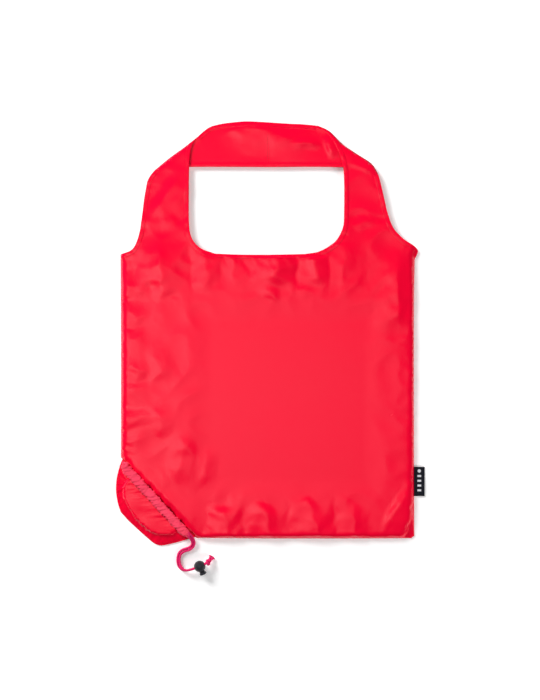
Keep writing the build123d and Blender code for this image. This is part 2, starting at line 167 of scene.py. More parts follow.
def makeTaffeta(name, colour, shade, roughness):
    # coated polyester taffeta, close plain weave: a satin gloss that slides over each crease
    material, tree, shader = newMaterial(name)
    place = addNode(tree, "ShaderNodeTexCoord").outputs["Object"]
    cloud = addNode(tree, "ShaderNodeTexNoise", {"Vector": place, "Scale": cloth["cloud"], "Detail": 3.0})
    fine = addNode(tree, "ShaderNodeTexNoise", {"Vector": place, "Scale": 1 / (cloth["threadPitch"] * mm),
                                                "Detail": 2.0})
    tree.links.new(mixTones(tree, cloud.outputs["Fac"], shade, colour), shader.inputs["Base Color"])
    # a wave texture repeats every pi / 10 of its coordinate
    scale = math.pi / 10 / (cloth["threadPitch"] * mm)
    bands = {"Vector": place, "Scale": scale, "Distortion": 0.8, "Detail": 1.0, "Detail Scale": 2.0}
    rows = [addNode(tree, "ShaderNodeTexWave", bands, bands_direction=axis).outputs["Fac"] for axis in "XY"]
    weave = addNode(tree, "ShaderNodeMath", {0: rows[0], 1: rows[1]}, operation="MULTIPLY")
    grain = addNode(tree, "ShaderNodeMath", {0: weave.outputs[0], 1: fine.outputs["Fac"]}, operation="ADD")
    bump = addNode(tree, "ShaderNodeBump", {"Height": grain.outputs[0], "Strength": cloth["weaveBump"],
                                            "Distance": 0.1 * mm})
    tree.links.new(bump.outputs["Normal"], shader.inputs["Normal"])
    gloss = addNode(tree, "ShaderNodeMapRange", {"Value": cloud.outputs["Fac"],
                                                 "To Min": roughness - cloth["glossSpread"],
                                                 "To Max": roughness + cloth["glossSpread"]})
    tree.links.new(gloss.outputs["Result"], shader.inputs["Roughness"])
    return material


def makeThread(name, hexTone):
    # spun polyester thread: matt, twisted plies
    material, tree, shader = newMaterial(name)
    place = addNode(tree, "ShaderNodeTexCoord").outputs["Object"]
    twist = addNode(tree, "ShaderNodeTexNoise", {"Vector": place, "Scale": 2500.0, "Detail": 1.0})
    darker = "".join(f"{round(int(hexTone[i:i + 2], 16) * 0.82):02x}" for i in (0, 2, 4))
    tree.links.new(mixTones(tree, twist.outputs["Fac"], darker, hexTone), shader.inputs["Base Color"])
    shader.inputs["Roughness"].default_value = 0.7
    return material


# shade is a darker pink painted into the grooves between the plaits as painted shade; colour is the crests'
# tone, which doubles as painted highlight
cordLook = {"colour": "ee2a70", "shade": "cf1456", "plait": 1.6, "plaitTurns": 6.0, "roughness": 0.5}


def makeBraid(name):
    # braided polyester cord: small crossing plaits, each painted lighter on its crest as painted highlight and
    # darker in the grooves between as painted shade
    material, tree, shader = newMaterial(name)
    uv = addNode(tree, "ShaderNodeUVMap", uv_map="alongCord").outputs["UV"]
    parts = addNode(tree, "ShaderNodeSeparateXYZ", {"Vector": uv})
    strands = []
    for hand in (1.0, -1.0):
        turned = addNode(tree, "ShaderNodeMath", {0: parts.outputs["X"], 1: cordLook["plaitTurns"] * hand},
                         operation="MULTIPLY")
        moved = addNode(tree, "ShaderNodeMath", {0: parts.outputs["Y"], 1: turned.outputs[0]}, operation="ADD")
        wave = addNode(tree, "ShaderNodeMath", {0: moved.outputs[0], 1: 0.5}, operation="PINGPONG")
        strands.append(wave.outputs[0])
    high = addNode(tree, "ShaderNodeMath", {0: strands[0], 1: strands[1]}, operation="MAXIMUM")
    spread = addNode(tree, "ShaderNodeMapRange", {"Value": high.outputs[0], "From Min": 0.15, "From Max": 0.5})
    # plait height picks the tone: painted shade in the grooves, the lighter colour as painted highlight on the
    # crests
    tree.links.new(mixTones(tree, spread.outputs["Result"], cordLook["shade"], cordLook["colour"]),
                   shader.inputs["Base Color"])
    bump = addNode(tree, "ShaderNodeBump", {"Height": high.outputs[0], "Strength": 0.5, "Distance": 0.3 * mm})
    tree.links.new(bump.outputs["Normal"], shader.inputs["Normal"])
    shader.inputs["Roughness"].default_value = cordLook["roughness"]
    return material


def makePlastic(name, colour, worn, roughness):
    # injection-moulded polypropylene: fine spark-eroded texture, soft highlight, rubbed tone here and there
    material, tree, shader = newMaterial(name)
    place = addNode(tree, "ShaderNodeTexCoord").outputs["Object"]
    grit = addNode(tree, "ShaderNodeTexNoise", {"Vector": place, "Scale": 1800.0, "Detail": 3.0})
    wear = addNode(tree, "ShaderNodeTexNoise", {"Vector": place, "Scale": 240.0, "Detail": 4.0})
    tree.links.new(mixTones(tree, wear.outputs["Fac"], colour, worn), shader.inputs["Base Color"])
    bump = addNode(tree, "ShaderNodeBump", {"Height": grit.outputs["Fac"], "Strength": 0.18,
                                            "Distance": 0.1 * mm})
    tree.links.new(bump.outputs["Normal"], shader.inputs["Normal"])
    gloss = addNode(tree, "ShaderNodeMapRange", {"Value": wear.outputs["Fac"], "To Min": roughness - 0.06,
                                                 "To Max": roughness + 0.08})
    tree.links.new(gloss.outputs["Result"], shader.inputs["Roughness"])
    return material


def makeSteel(name):
    # drawn spring wire: bright metal with fine lengthwise scratches
    material, tree, shader = newMaterial(name)
    place = addNode(tree, "ShaderNodeTexCoord").outputs["Object"]
    scratch = addNode(tree, "ShaderNodeTexNoise", {"Vector": place, "Scale": 3000.0, "Detail": 2.0})
    tree.links.new(mixTones(tree, scratch.outputs["Fac"], "8d8f92", "c6c8ca"), shader.inputs["Base Color"])
    shader.inputs["Metallic"].default_value = 1.0
    shader.inputs["Roughness"].default_value = 0.3
    return material


def through(points, step):
    # a smooth line through given points (Catmull-Rom), sampled about every step millimetres
    pts = [np.array(p, float) for p in points]
    pts = [2 * pts[0] - pts[1]] + pts + [2 * pts[-1] - pts[-2]]
    line = []
    for a, b, c, d in zip(pts, pts[1:], pts[2:], pts[3:]):
        count = max(1, round(np.linalg.norm(c - b) / step))
        for k in range(count):
            t = k / count
            line.append(0.5 * (2 * b + (c - a) * t + (2 * a - 5 * b + 4 * c - d) * t**2
                               + (3 * b - 3 * c + d - a) * t**3))
    line.append(pts[-2])
    return line


def joined(parts, step):
    # several smooth stretches end to end, with a corner where two of them meet
    line = []
    for part in parts:
        line += through(part, step)[:-1]
    return line


def insideOf(points, ring):
    x, y = points[:, 0], points[:, 1]
    hit = np.zeros(len(points), bool)
    for (x0, y0), (x1, y1) in zip(ring, ring[1:] + ring[:1]):
        cross = (y0 > y) != (y1 > y)
        with np.errstate(divide="ignore", invalid="ignore"):
            hit ^= cross & (x < (x1 - x0) * (y - y0) / (y1 - y0) + x0)
    return hit


def along(points, line):
    # for each point: distance from a polyline, which side of it (left is +1), and millimetres run along it
    points = points[:, :2]
    best = np.full(len(points), 1e9)
    side, run = np.zeros(len(points)), np.zeros(len(points))
    start = 0.0
    for a, b in zip(line, line[1:]):
        a, b = np.array(a[:2], float), np.array(b[:2], float)
        length = np.linalg.norm(b - a)
        if length < 1e-9:
            continue
        d = (b - a) / length
        rel = points - a
        t = np.clip(rel @ d, 0, length)
        off = rel - t[:, None] * d
        dist = np.linalg.norm(off, axis=1)
        nearer = dist < best
        best = np.where(nearer, dist, best)
        side = np.where(nearer, np.sign(d[0] * rel[:, 1] - d[1] * rel[:, 0]), side)
        run = np.where(nearer, start + t, run)
        start += length
    return best, side, run, start


def distanceTo(points, line):
    return along(points, line)[0]


def fillSheet(ring, step, seed=1):
    # even triangles inside a closed outline: (points, faces), the outline's points first
    ring = [tuple(p[:2]) for p in ring]
    low, high = np.min(ring, 0), np.max(ring, 0)
    ys = np.arange(low[1], high[1], step * 0.866)
    grid = np.array([(x + (k % 2) * step / 2, y) for k, y in enumerate(ys)
                     for x in np.arange(low[0], high[0], step)])
    rng = np.random.default_rng(seed)
    grid += rng.uniform(-0.12, 0.12, grid.shape) * step
    grid = grid[insideOf(grid, ring)]
    grid = grid[distanceTo(grid, ring + ring[:1]) > 0.55 * step]
    points = [Vector(p) for p in ring] + [Vector(p) for p in grid]
    found = delaunay_2d_cdt(points, [], [list(range(len(ring)))], 1, 1e-5)
    verts = np.array([tuple(v) for v in found[0]])
    return verts, np.array([list(f) for f in found[2]])


def weld(first, firstFaces, second, secondFaces, shared):
    # joins two sheets along a shared line; the second is turned over, as past a fold
    index = {tuple(np.round(first[i][:2], 4)): i for i in range(shared[0])}
    place, verts = {}, list(first)
    for i, v in enumerate(second):
        key = tuple(np.round(v[:2], 4))
        if i < shared[1] and key in index:
            place[i] = index[key]
        else:
            place[i] = len(verts)
            verts.append(v)
    turned = [[place[i] for i in reversed(f)] for f in secondFaces]
    bandRing = [place[i] for i in range(shared[1])]
    return np.array(verts), np.vstack([firstFaces, turned]), bandRing


def refine(verts, faces):
    # each triangle into four
    n = len(faces)
    edges = np.sort(np.vstack([faces[:, [0, 1]], faces[:, [1, 2]], faces[:, [2, 0]]]), axis=1)
    single, back = np.unique(edges, axis=0, return_inverse=True)
    back = back.reshape(-1)
    middle = (verts[single[:, 0]] + verts[single[:, 1]]) / 2
    a, b, c = len(verts) + back[:n], len(verts) + back[n:2 * n], len(verts) + back[2 * n:]
    i, j, k = faces.T
    split = np.vstack([np.column_stack(t) for t in ((i, a, c), (a, j, b), (c, b, k), (a, b, c))])
    return np.vstack([verts, middle]), split


def evenOut(values, faces, passes, held=None):
    # moves each value towards the mean of its neighbours
    edges = np.vstack([faces[:, [0, 1]], faces[:, [1, 2]], faces[:, [2, 0]]])
    edges = np.vstack([edges, edges[:, ::-1]])
    count = np.bincount(edges[:, 0], minlength=len(values))
    free = np.ones(len(values)) if held is None else 1.0 - held
    for _ in range(passes):
        total = np.bincount(edges[:, 0], weights=values[edges[:, 1]], minlength=len(values))
        values = values + free * 0.6 * (total / np.maximum(count, 1) - values)
    return values


def toObject(name, verts, faces, material):
    mesh = bpy.data.meshes.new(name)
    mesh.from_pydata((np.array(verts) * mm).tolist(), [], [list(map(int, f)) for f in faces])
    mesh.validate()
    mesh.polygons.foreach_set("use_smooth", [True] * len(mesh.polygons))
    made = bpy.data.objects.new(name, mesh)
    scene.collection.objects.link(made)
    made.data.materials.append(material)
    return made


def baked(made):
    # the object's modifiers become its plain mesh
    ready = made.evaluated_get(bpy.context.evaluated_depsgraph_get())
    mesh = bpy.data.meshes.new_from_object(ready)
    made.modifiers.clear()
    made.data = mesh
    return made


def thicken(made, thickness, offset=-1.0):
    wall = made.modifiers.new("wall", "SOLIDIFY")
    wall.thickness = thickness * mm
    wall.offset = offset
    return baked(made)


def vertsOf(made):
    flat = np.empty(len(made.data.vertices) * 3)
    made.data.vertices.foreach_get("co", flat)
    return flat.reshape(-1, 3) / mm


def smooth(t):
    t = np.clip(t, 0, 1)
    return t * t * (3 - 2 * t)


def wander(points, size, seed=0.0):
    # slow even noise, about -1 to 1, over size millimetres
    return np.array([noise.noise(Vector((p[0] / size, p[1] / size, seed))) for p in points])


def crease(points, line, left, right, height, seed=0.0):
    # a fold in the cloth: a crisp crest along a line, easing away left and right of it
    path = through(line, 5.0)
    dist, side, run, total = along(points, path)
    near = dist < 1.4 * max(left, right)
    out = np.zeros(len(points))
    if not near.any():
        return out
    spots, dist, side, run = points[near], dist[near], side[near], run[near]
    reach = np.where(side > 0, left, right) * (1 + 0.3 * wander(spots, 26.0, seed + 3.7))
    soft = np.sqrt(dist**2 + 1.2**2) - 1.2
    rise = np.clip(1 - soft / reach, 0, 1) ** 1.2
    ends = smooth(2.6 * run / total) * smooth(2.6 * (1 - run / total))
    out[near] = height * rise * ends * (1 + 0.25 * wander(spots, 14.0, seed))
    return out


def pleats(points, row, seed):
    # facets between straight valleys and crests that run in from an edge, as gathered cloth falls
    rel = points[:, :2] - np.array(row["from"])
    u = rel @ np.array(row["way"]) + row["wobble"] * wander(points, 15.0, seed)
    v = rel @ np.array(row["in"])
    share = np.clip(v / row["depth"], 0, 1)
    out = np.zeros(len(points))
    for (a0, a1, low), (b0, b1, high) in zip(row["lines"], row["lines"][1:]):
        start = a0 + (a1 - a0) * share
        t = (u - start) / (b0 + (b1 - b0) * share - start)
        out = np.where((t >= 0) & (t < 1), low + (high - low) * t, out)
    reach = v / row["depth"] * (1 + 0.35 * wander(points, 24.0, seed + 2.2))
    past = row["past"] * smooth((np.abs(u) - row["open"]) / 25)      # beyond the opening the facets run on
    return out * smooth((v + past) / (row["lead"] + past)) * (1 - smooth((reach - 0.5) / 0.5))


def puckers(points, line, reach, size, height, seed, tilt=0.0):
    # the small gathers that a row of stitches pulls into the cloth beside it
    dist, side, run, total = along(points, line)
    near = dist < 2.5 * reach
    out = np.zeros(len(points))
    rows = [noise.noise(Vector(((r + tilt * d) / size, d / (4 * size), seed)))
            for r, d in zip(run[near], dist[near])]
    out[near] = height * np.array(rows) * np.exp(-(dist[near] / reach) ** 2)
    return out


# the cloth is simulated twelve times its size, where Blender's solver is steadier
settle = {"scale": 12.0, "frames": 26, "quality": 6, "bend": 0.4, "stretch": 18.0, "damping": 8.0, "mass": 0.2,
          "gap": 0.002, "wallGap": 0.001, "wallSide": 14}


def settleCloth(made, pins, growth, pressure, low, high, cap):
    # the cut cloth, a little larger than its frame, buckles between the table and a soft limit above it
    k = settle["scale"]
    mesh = made.data
    before = vertsOf(made) * mm
    mesh.vertices.foreach_set("co", (before * k).ravel())
    mesh.update()
    group = made.vertex_groups.new(name="pins")
    for i, weight in enumerate(pins):
        if weight > 0:
            group.add([i], float(weight), "REPLACE")
    drape = made.modifiers.new("drape", "CLOTH")
    setup = drape.settings
    setup.quality = settle["quality"]
    setup.mass = settle["mass"]
    setup.tension_stiffness = setup.compression_stiffness = settle["stretch"]
    setup.shear_stiffness = settle["stretch"] / 3
    setup.bending_stiffness = settle["bend"]
    setup.air_damping = settle["damping"] / 2
    setup.tension_damping = setup.compression_damping = settle["damping"]
    setup.vertex_group_mass = "pins"
    setup.pin_stiffness = 1.0
    setup.shrink_min = -growth
    setup.use_pressure = True
    setup.uniform_pressure_force = pressure
    setup.effector_weights.gravity = 0.0
    drape.collision_settings.use_collision = True
    drape.collision_settings.distance_min = settle["gap"]
    drape.collision_settings.collision_quality = 3
    walls = []
    for height in (low, high):
        bpy.ops.mesh.primitive_plane_add(size=settle["wallSide"], location=(0, 0, height * mm * k))
        wall = bpy.context.object
        wall.modifiers.new("hard", "COLLISION")
        wall.collision.thickness_outer = settle["wallGap"]
        walls.append(wall)
    drape.point_cache.frame_start = 1
    drape.point_cache.frame_end = settle["frames"]
    for step in range(1, settle["frames"] + 1):
        scene.frame_set(step)
    ready = made.evaluated_get(bpy.context.evaluated_depsgraph_get())
    after = np.array([v.co[:] for v in ready.data.vertices]) / k
    move = after - before
    length = np.linalg.norm(move, axis=1)
    move *= np.minimum(1, cap * mm / np.maximum(length, 1e-9))[:, None]
    made.modifiers.remove(drape)
    made.vertex_groups.remove(group)
    for wall in walls:
        bpy.data.objects.remove(wall)
    scene.frame_set(1)
    after = before + move
    after[:, 2] = np.clip(after[:, 2], low * mm, high * mm)
    mesh.vertices.foreach_set("co", after.ravel())
    mesh.update()
    print("settled", made.name, "moved up to", round(float(length.max()) / mm, 1), "mm")


def surfaceOf(verts, faces):
    return BVHTree.FromPolygons([tuple(v) for v in verts], [tuple(map(int, f)) for f in faces])


def onto(surface, x, y, fallback, down=True):
    # height of a surface above or below a place
    way = -1 if down else 1
    hit = surface.ray_cast(Vector((x, y, -60 * way)), Vector((0, 0, way)))[0]
    return hit.z if hit else fallback


def tubeMesh(name, path, radius, material, around=10, profile=None, closed=True):
    # a tube along points in millimetres, with a UV map: round it, and along it in plaits
    path = [Vector(p) for p in path]
    count = len(path)
    ways = [(path[min(i + 1, count - 1)] - path[max(i - 1, 0)]).normalized() for i in range(count)]
    side = ways[0].orthogonal().normalized()
    verts, run, runs = [], 0.0, []
    for i, (spot, way) in enumerate(zip(path, ways)):
        side = (side - way * side.dot(way)).normalized()
        up = way.cross(side)
        run += (spot - path[i - 1]).length if i else 0.0
        runs.append(run)
        for k in range(around):
            turn = 2 * math.pi * k / around
            reach = radius if profile is None else radius * profile(run, turn)
            verts.append(spot + (side * math.cos(turn) + up * math.sin(turn)) * reach)
    faces = [(i * around + k, i * around + (k + 1) % around, (i + 1) * around + (k + 1) % around,
              (i + 1) * around + k) for i in range(count - 1) for k in range(around)]
    if closed:
        verts += [path[0], path[-1]]
        first, last = len(verts) - 2, len(verts) - 1
        foot = (count - 1) * around
        faces += [(first, (k + 1) % around, k) for k in range(around)]
        faces += [(last, foot + k, foot + (k + 1) % around) for k in range(around)]
    made = toObject(name, [tuple(v) for v in verts], faces, material)
    uv = made.data.uv_layers.new(name="alongCord")
    for loop in made.data.loops:
        i = loop.vertex_index
        if i < count * around:
            k = i % around
            uv.data[loop.index].uv = (k / around, runs[i // around] / cordLook["plait"])
    return made


def merged(name, parts):
    # several meshes as one piece
    mesh = bpy.data.meshes.new(name)
    store = bmesh.new()
    for part in parts:
        store.from_mesh(part.data)
    store.to_mesh(mesh)
    store.free()
    for material in parts[0].data.materials:
        mesh.materials.append(material)
    for part in parts:
        bpy.data.objects.remove(part)
    made = bpy.data.objects.new(name, mesh)
    scene.collection.objects.link(made)
    return made


print("stage, light and materials")
floor = makeStage()
makeLights()
floorLook, _, floorShader = newMaterial("matte white paper")
# a matt white table top, lit a little from behind so that shadows stay pale
paper = {"Base Color": (0.96, 0.96, 0.96, 1), "Emission Color": (1, 1, 1, 1), "Emission Strength": 0.22,
         "Roughness": 0.9, "Specular IOR Level": 0.0}
for name, value in paper.items():
    floorShader.inputs[name].default_value = value
floor.data.materials.append(floorLook)
taffeta = makeTaffeta("woven polyester taffeta, satin", cloth["colour"], cloth["shade"], cloth["roughness"])
redThread = makeThread("spun polyester sewing thread, red", "e41038")
braid = makeBraid("braided polyester cord, pink")
black = makePlastic("moulded polypropylene, black", "232328", "34343a", 0.4)
steel = makeSteel("drawn spring steel wire")


print("cords")
routes = {
    "inner": [(-101.0, -178.8, 8.0), (-93.1, -187.6, 5.0), (-97.4, -199.6, 1.5), (-111.9, -203.1, 1.45),
              (-115.0, -212.5, 1.6), (-112.6, -222.5, 4.8), (-103.66, -228.3, 9.0), (-81.4, -217.9, 9.0)],
    "outer": [(-103.4, -180.9, 8.0), (-96.4, -188.5, 5.0), (-99.5, -196.9, 1.5), (-114.2, -200.5, 1.45),
              (-117.9, -212.5, 1.5), (-114.9, -224.3, 2.0), (-103.66, -228.3, 6.0), (-81.4, -217.9, 6.0)],
}
cord = {"diameter": 2.8, "stepAlong": 0.4, "around": 20, "core": 0.98, "plaitRise": 0.14}


def splinePath(name, points):
    # the cord's own smooth line, read back as points in millimetres
    curve = bpy.data.curves.new(name, "CURVE")
    curve.dimensions = "3D"
    spline = curve.splines.new("NURBS")
    spline.points.add(len(points) - 1)
    for spot, place in zip(spline.points, points):
        spot.co = (place[0] * mm, place[1] * mm, place[2] * mm, 1)
    spline.order_u = 3
    spline.use_endpoint_u = True
    spline.resolution_u = 24
    holder = bpy.data.objects.new(name, curve)
    scene.collection.objects.link(holder)
    bpy.context.view_layer.update()
    line = bpy.data.meshes.new_from_object(holder.evaluated_get(bpy.context.evaluated_depsgraph_get()))
    path = [Vector(v.co) / mm for v in line.vertices]
    bpy.data.objects.remove(holder)
    bpy.data.meshes.remove(line)
    return path


def spaced(path, step):
    # the same line with even gaps between its points
    out, left = [path[0]], step
    for a, b in zip(path, path[1:]):
        a, way = Vector(a), Vector(b) - Vector(a)
        length = way.length
        done = 0.0
        while length - done >= left and length > 0:
            done += left
            out.append(a + way * (done / length))
            left = step
        left -= length - done
    out.append(path[-1])
    return out


def plaits(run, turn):
    # crossing strands stand a little proud of the cord
    steps = 2 * math.pi * run / (cordLook["plait"] * 2)
    over = max(abs(math.cos(4 * turn + steps)), abs(math.cos(4 * turn - steps)))
    return cord["core"] + cord["plaitRise"] * over


strands = {}
for name, route in routes.items():
    path = splinePath(name, route)
    strands[name] = tubeMesh("cord_" + name, spaced(path, cord["stepAlong"]), cord["diameter"] / 2, braid,
                             cord["around"], plaits)
    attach(strands[name], "pouch")
    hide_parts("cord_strand_" + name)

ballLow, ballHigh = [Vector(c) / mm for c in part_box("lock_ball")]
ballCentre = (ballLow + ballHigh) / 2
knotLow, knotHigh = [Vector(c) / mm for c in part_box("cord_knot")]
knotCentre = (knotLow + knotHigh) / 2
lockJoint = hinges["lock_slide"]
alongCord = -Vector(lockJoint["axis"])
acrossCord = Vector((-alongCord.y, alongCord.x, 0))


knot = {
    "wrap": 2.8, "turns": 2.25, "halfLength": 2.8, "cord": 2.9, "leads": (5.0, 8.0, 10.0), "spread": 1.45,
    "tails": ((-73.6, -208.2, 1.9), (-70.2, -210.4, 1.9)), "tailStart": 0.25, "flare": 0.85, "waist": 0.92,
    "weave": 0.9, "step": 0.35, "around": 16,
}


def knotPath():
    # a stopper knot: the cord goes round itself and tucks back under its own turns
    path = []
    for k in range(91):
        t = k / 90
        turn = 2 * math.pi * knot["turns"] * t
        out = knot["wrap"] * min(1, 8 * t, 8 * (1 - t))
        run = knot["halfLength"] * (2 * t - 1) + knot["weave"] * math.sin(turn * 0.5)
        path.append(knotCentre + alongCord * run + acrossCord * (out * math.cos(turn))
                    + Vector((0, 0, 1)) * (out * math.sin(turn)))
    return path


def flared(end, start):
    # a heat-cut end spreads like a small trumpet
    way = Vector(end) - Vector(start)
    line = spaced([Vector(start) + way * (k / 12) for k in range(13)], knot["step"])

    def widening(run, turn):
        return plaits(run, turn) * (knot["waist"] + knot["flare"] * (run / way.length) ** 9)

    return tubeMesh("tail", line, cord["diameter"] / 2, braid, cord["around"], widening)


def lead(side):
    # the cord's last stretch from inside the lock to the knot
    spots = [Vector(ballCentre) + alongCord * run + Vector((0, 0, side * knot["spread"] * (1 - n / 3)))
             for n, run in enumerate(knot["leads"])]
    return tubeMesh("lead", through(spots, 0.5), cord["diameter"] / 2, braid, knot["around"], plaits)


turns = tubeMesh("loop", spaced(knotPath(), knot["step"]), knot["cord"] / 2, braid, knot["around"], plaits)
loops = [turns, lead(1), lead(-1)]
cordKnot = merged("cord_knot_tied", loops)
tails = merged("cord_cut_ends", [flared(end, knotCentre + (Vector(end) - knotCentre) * knot["tailStart"])
                                 for end in knot["tails"]])
for piece, node in ((cordKnot, "cord_knot"), (tails, "cord_tails")):
    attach(piece, "pouch")
    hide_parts(node)

lockFinish = {"lock_ball": black, "lock_plunger": black, "lock_spring": steel}
for node, look in lockFinish.items():
    target = frame["nodes"][node]
    target.data.materials.clear()
    target.data.materials.append(look)

for name, strand in strands.items():
    path = splinePath(name, routes[name])


print("front and back cloth")
sheet = {
    "step": 5.2, "seamHeight": 1.0, "panelHeight": 6.4, "legHeight": 6.6, "bandHeight": 4.5,
    "backHeight": 0.55, "backBandHeight": 2.3, "thickness": 0.25, "flat": (0.386, 0.62),
    "backLift": 0.12,         # the back lies on the table, so its creases have this share of the front's height
    "edgeFade": 9.0, "foldFade": 7.0, "pinReach": 5.0, "creasesEnd": 216,
    "rise": {"leftSide": 1.4, "rightSide": 25.0, "bottomEdge": 1.4, "cornerEdge": 15.0},
    "growth": 0.006, "pressure": 0.6, "floor": 0.8, "ceiling": 7.6, "cap": 9.0,
}

rightSide = [(190.8, bottomY + 3), (190.4, 0), (190.6, 120), (191.5, 178)]
rightArm = [(191.5, 178), (195.3, 188.5), (186, 196), (176.2, 202.3), (166.5, 212), (160.5, 222),
            (155.5, 238), (151.3, 256), (147.5, 273), (143, 289.5)]
rightFold = [(143, 289.5), (134.7, 301.8), (116, 314), (97.3, 326.8), (80.8, 343.3), (65.7, 350.5)]
rightInner = [(65.7, 350.5), (80, 338), (91, 320), (98, 300), (99.8, 280), (99.8, 240), (98.5, 220),
              (91, 204), (81, 195), (66, 187.2), (48, 184.2)]
neckline = [(48, 184.2), (0, 183.2), (-40, 183.4), (-68, 184.6)]
leftInner = [(-68, 184.6), (-84, 190.2), (-93.5, 197.5), (-100, 209), (-102.2, 226), (-102.4, 260),
             (-102, 295), (-100.5, 315), (-97, 327), (-91.7, 335.4)]
leftFold = [(-91.7, 335.4), (-108, 322.5), (-126, 309.5), (-143, 295.6)]
leftArm = [(-143, 295.6), (-150, 288), (-155.3, 279), (-158, 266), (-160, 254), (-162.8, 230), (-165, 214),
           (-168.5, 201), (-173, 191.5), (-180, 186.5), (-191, 183.6)]
leftSide = [(-191, 183.6), (-190.4, 60), (-190.4, -80)]
cornerEdge = [(-190.4, -80), (-142, -131.6), (-92, bottomY)]
bottomEdge = [(-92, bottomY), (40, bottomY - 0.6), (187, bottomY), (190.8, bottomY + 3)]
bandLower = [(-143, 295.6), (-122, 297.3), (-60, 297.7), (0, 297.4), (70, 297.6), (122, 295.4), (143, 289.5)]
bandUpper = [(65.7, 350.5), (45, 352.4), (31, 353), (0, 354.8), (-27, 356), (-52, 354), (-66, 351.5),
             (-76.9, 347.5), (-91.7, 335.4)]
panelParts = {"rightSide": rightSide, "rightArm": rightArm, "rightFold": rightFold, "rightInner": rightInner,
              "neckline": neckline, "leftInner": leftInner, "leftFold": leftFold, "leftArm": leftArm,
              "leftSide": leftSide, "cornerEdge": cornerEdge, "bottomEdge": bottomEdge}
bandParts = {"bandLower": bandLower, "rightFold": rightFold, "bandUpper": bandUpper, "leftFold": leftFold}

# each crease: its crest from end to end, how far it reaches left and right of the crest, and its height
bodyCreases = [
    ([(172, 76), (170, 110), (168, 150), (166, 196)], 34, 14, 3.0),
    ([(150, -183), (160, -158), (178, -130), (191, -110)], 8, 26, 2.4),
    ([(-176, -92), (-146, -122), (-118, -152), (-86, -183)], 26, 10, 2.0),
    ([(-134, -84), (-118, -70), (-92, -60)], 16, 16, 0.8),
    ([(-122, -126), (-112, -86), (-98, -40)], 24, 26, 1.8),
    ([(-84, -124), (-80, -90), (-76, -62)], 12, 18, 1.4),
    ([(-160, 60), (-140, 40), (-128, 4)], 22, 22, 1.3),
    ([(-150, -10), (-138, -34), (-142, -60)], 18, 20, 1.2),
]
legCreases = [
    ([(-160, 216), (-136, 252), (-105, 296)], 12, 38, 2.3),
    ([(101, 305), (122, 297), (143, 288)], 5, 4, 0.8),
    ([(112, 214), (126, 226), (142, 228)], 12, 9, 0.8),
]
bandCreases = [
    ([(-68, 332), (-36, 348), (-3, 345.5), (29, 336), (66, 347)], 12, 40, 3.2),
    ([(28, 326), (50, 329), (74, 325)], 6, 8, 1.4),
    ([(74, 340), (80, 326), (86, 306)], 20, 6, 2.2),
]
# rows of facets: each line is how far along the row it starts and ends, and its height
neckRow = {
    "from": (0, 183), "way": (1, 0), "in": (0, -1), "depth": 56, "lead": 5, "wobble": 4.0,
    "open": 72, "past": 30,
    "lines": [(-170, -174, 0), (-141, -136, 4.0), (-102, -99, 0), (-79, -77, 2.0), (-60, -60, 0.2),
              (-46, -40, 1.4), (-30, -22, 0), (14, 10, 3.8), (41, 37, 0), (60, 66, 3.0), (82, 82, 0),
              (100, 92, 1.7), (128, 120, 0)],
}
bottomRow = {
    "from": (0, bottomY), "way": (1, 0), "in": (0, 1), "depth": 54, "lead": 6, "wobble": 5.0,
    "open": 500, "past": 0,
    "lines": [(-74, -84, 0), (-52, -58, 2.8), (-30, -32, 0), (4, -6, 3.0), (28, 26, 0), (68, 52, 3.6),
              (90, 86, 0), (114, 106, 2.2), (130, 128, 0)],
}
leftRow = {
    "from": (-190, 0), "way": (0, 1), "in": (1, 0), "depth": 44, "lead": 4, "wobble": 4.0,
    "open": 500, "past": 0,
    "lines": [(-76, -70, 0), (-62, -50, 0.9), (-48, -36, 0), (-30, -26, 1.1), (-12, -18, 0.1), (4, 12, 1.0),
              (18, 20, 0), (38, 30, 1.3), (52, 50, 0.1), (70, 84, 1.2), (84, 96, 0), (104, 100, 1.0),
              (122, 124, 0), (140, 148, 1.1), (164, 166, 0)],
}
pleatRows = [neckRow, bottomRow, leftRow]
# gathers beside each stitched line: reach, size, height, seed and tilt
neckGathers = (11, 5.5, 0.55, 1.5, 0.5)
armGathers = (9, 5.0, 0.5, 5.5, 0.4)
seamGathers = (12, 7.0, 0.7, 8.5, -0.3)
calm = {"low": (-88, -122), "high": (140, 112), "edge": 34.0, "keep": 0.12}


def ringOf(parts, step):
    ring, spans = [], {}
    for name, part in parts.items():
        start = len(ring)
        ring += through(part, step)[:-1]
        spans[name] = (start, len(ring))
    return ring, spans


edgeLines = {name: through(part, 6.0) for name, part in panelParts.items()}
closedEdge = [p for name in ("leftSide", "cornerEdge", "bottomEdge", "rightSide") for p in edgeLines[name]]


def panelHeights(points):
    share = np.ones(len(points))
    for line, rise in sheet["rise"].items():
        share *= 1 - np.exp(-(distanceTo(points, edgeLines[line]) / rise * 1.5) ** 1.4)
    return sheet["seamHeight"] + (sheet["panelHeight"] - sheet["seamHeight"]) * share


def nearFold(points):
    return np.minimum(distanceTo(points, edgeLines["rightFold"]), distanceTo(points, edgeLines["leftFold"]))


def calmness(points):
    # the middle of the bag lies smooth: 0 inside, 1 outside
    low, high = np.array(calm["low"]), np.array(calm["high"])
    out = np.maximum(low - points[:, :2], points[:, :2] - high).max(axis=1)
    return calm["keep"] + (1 - calm["keep"]) * smooth(out / calm["edge"] + 0.5)


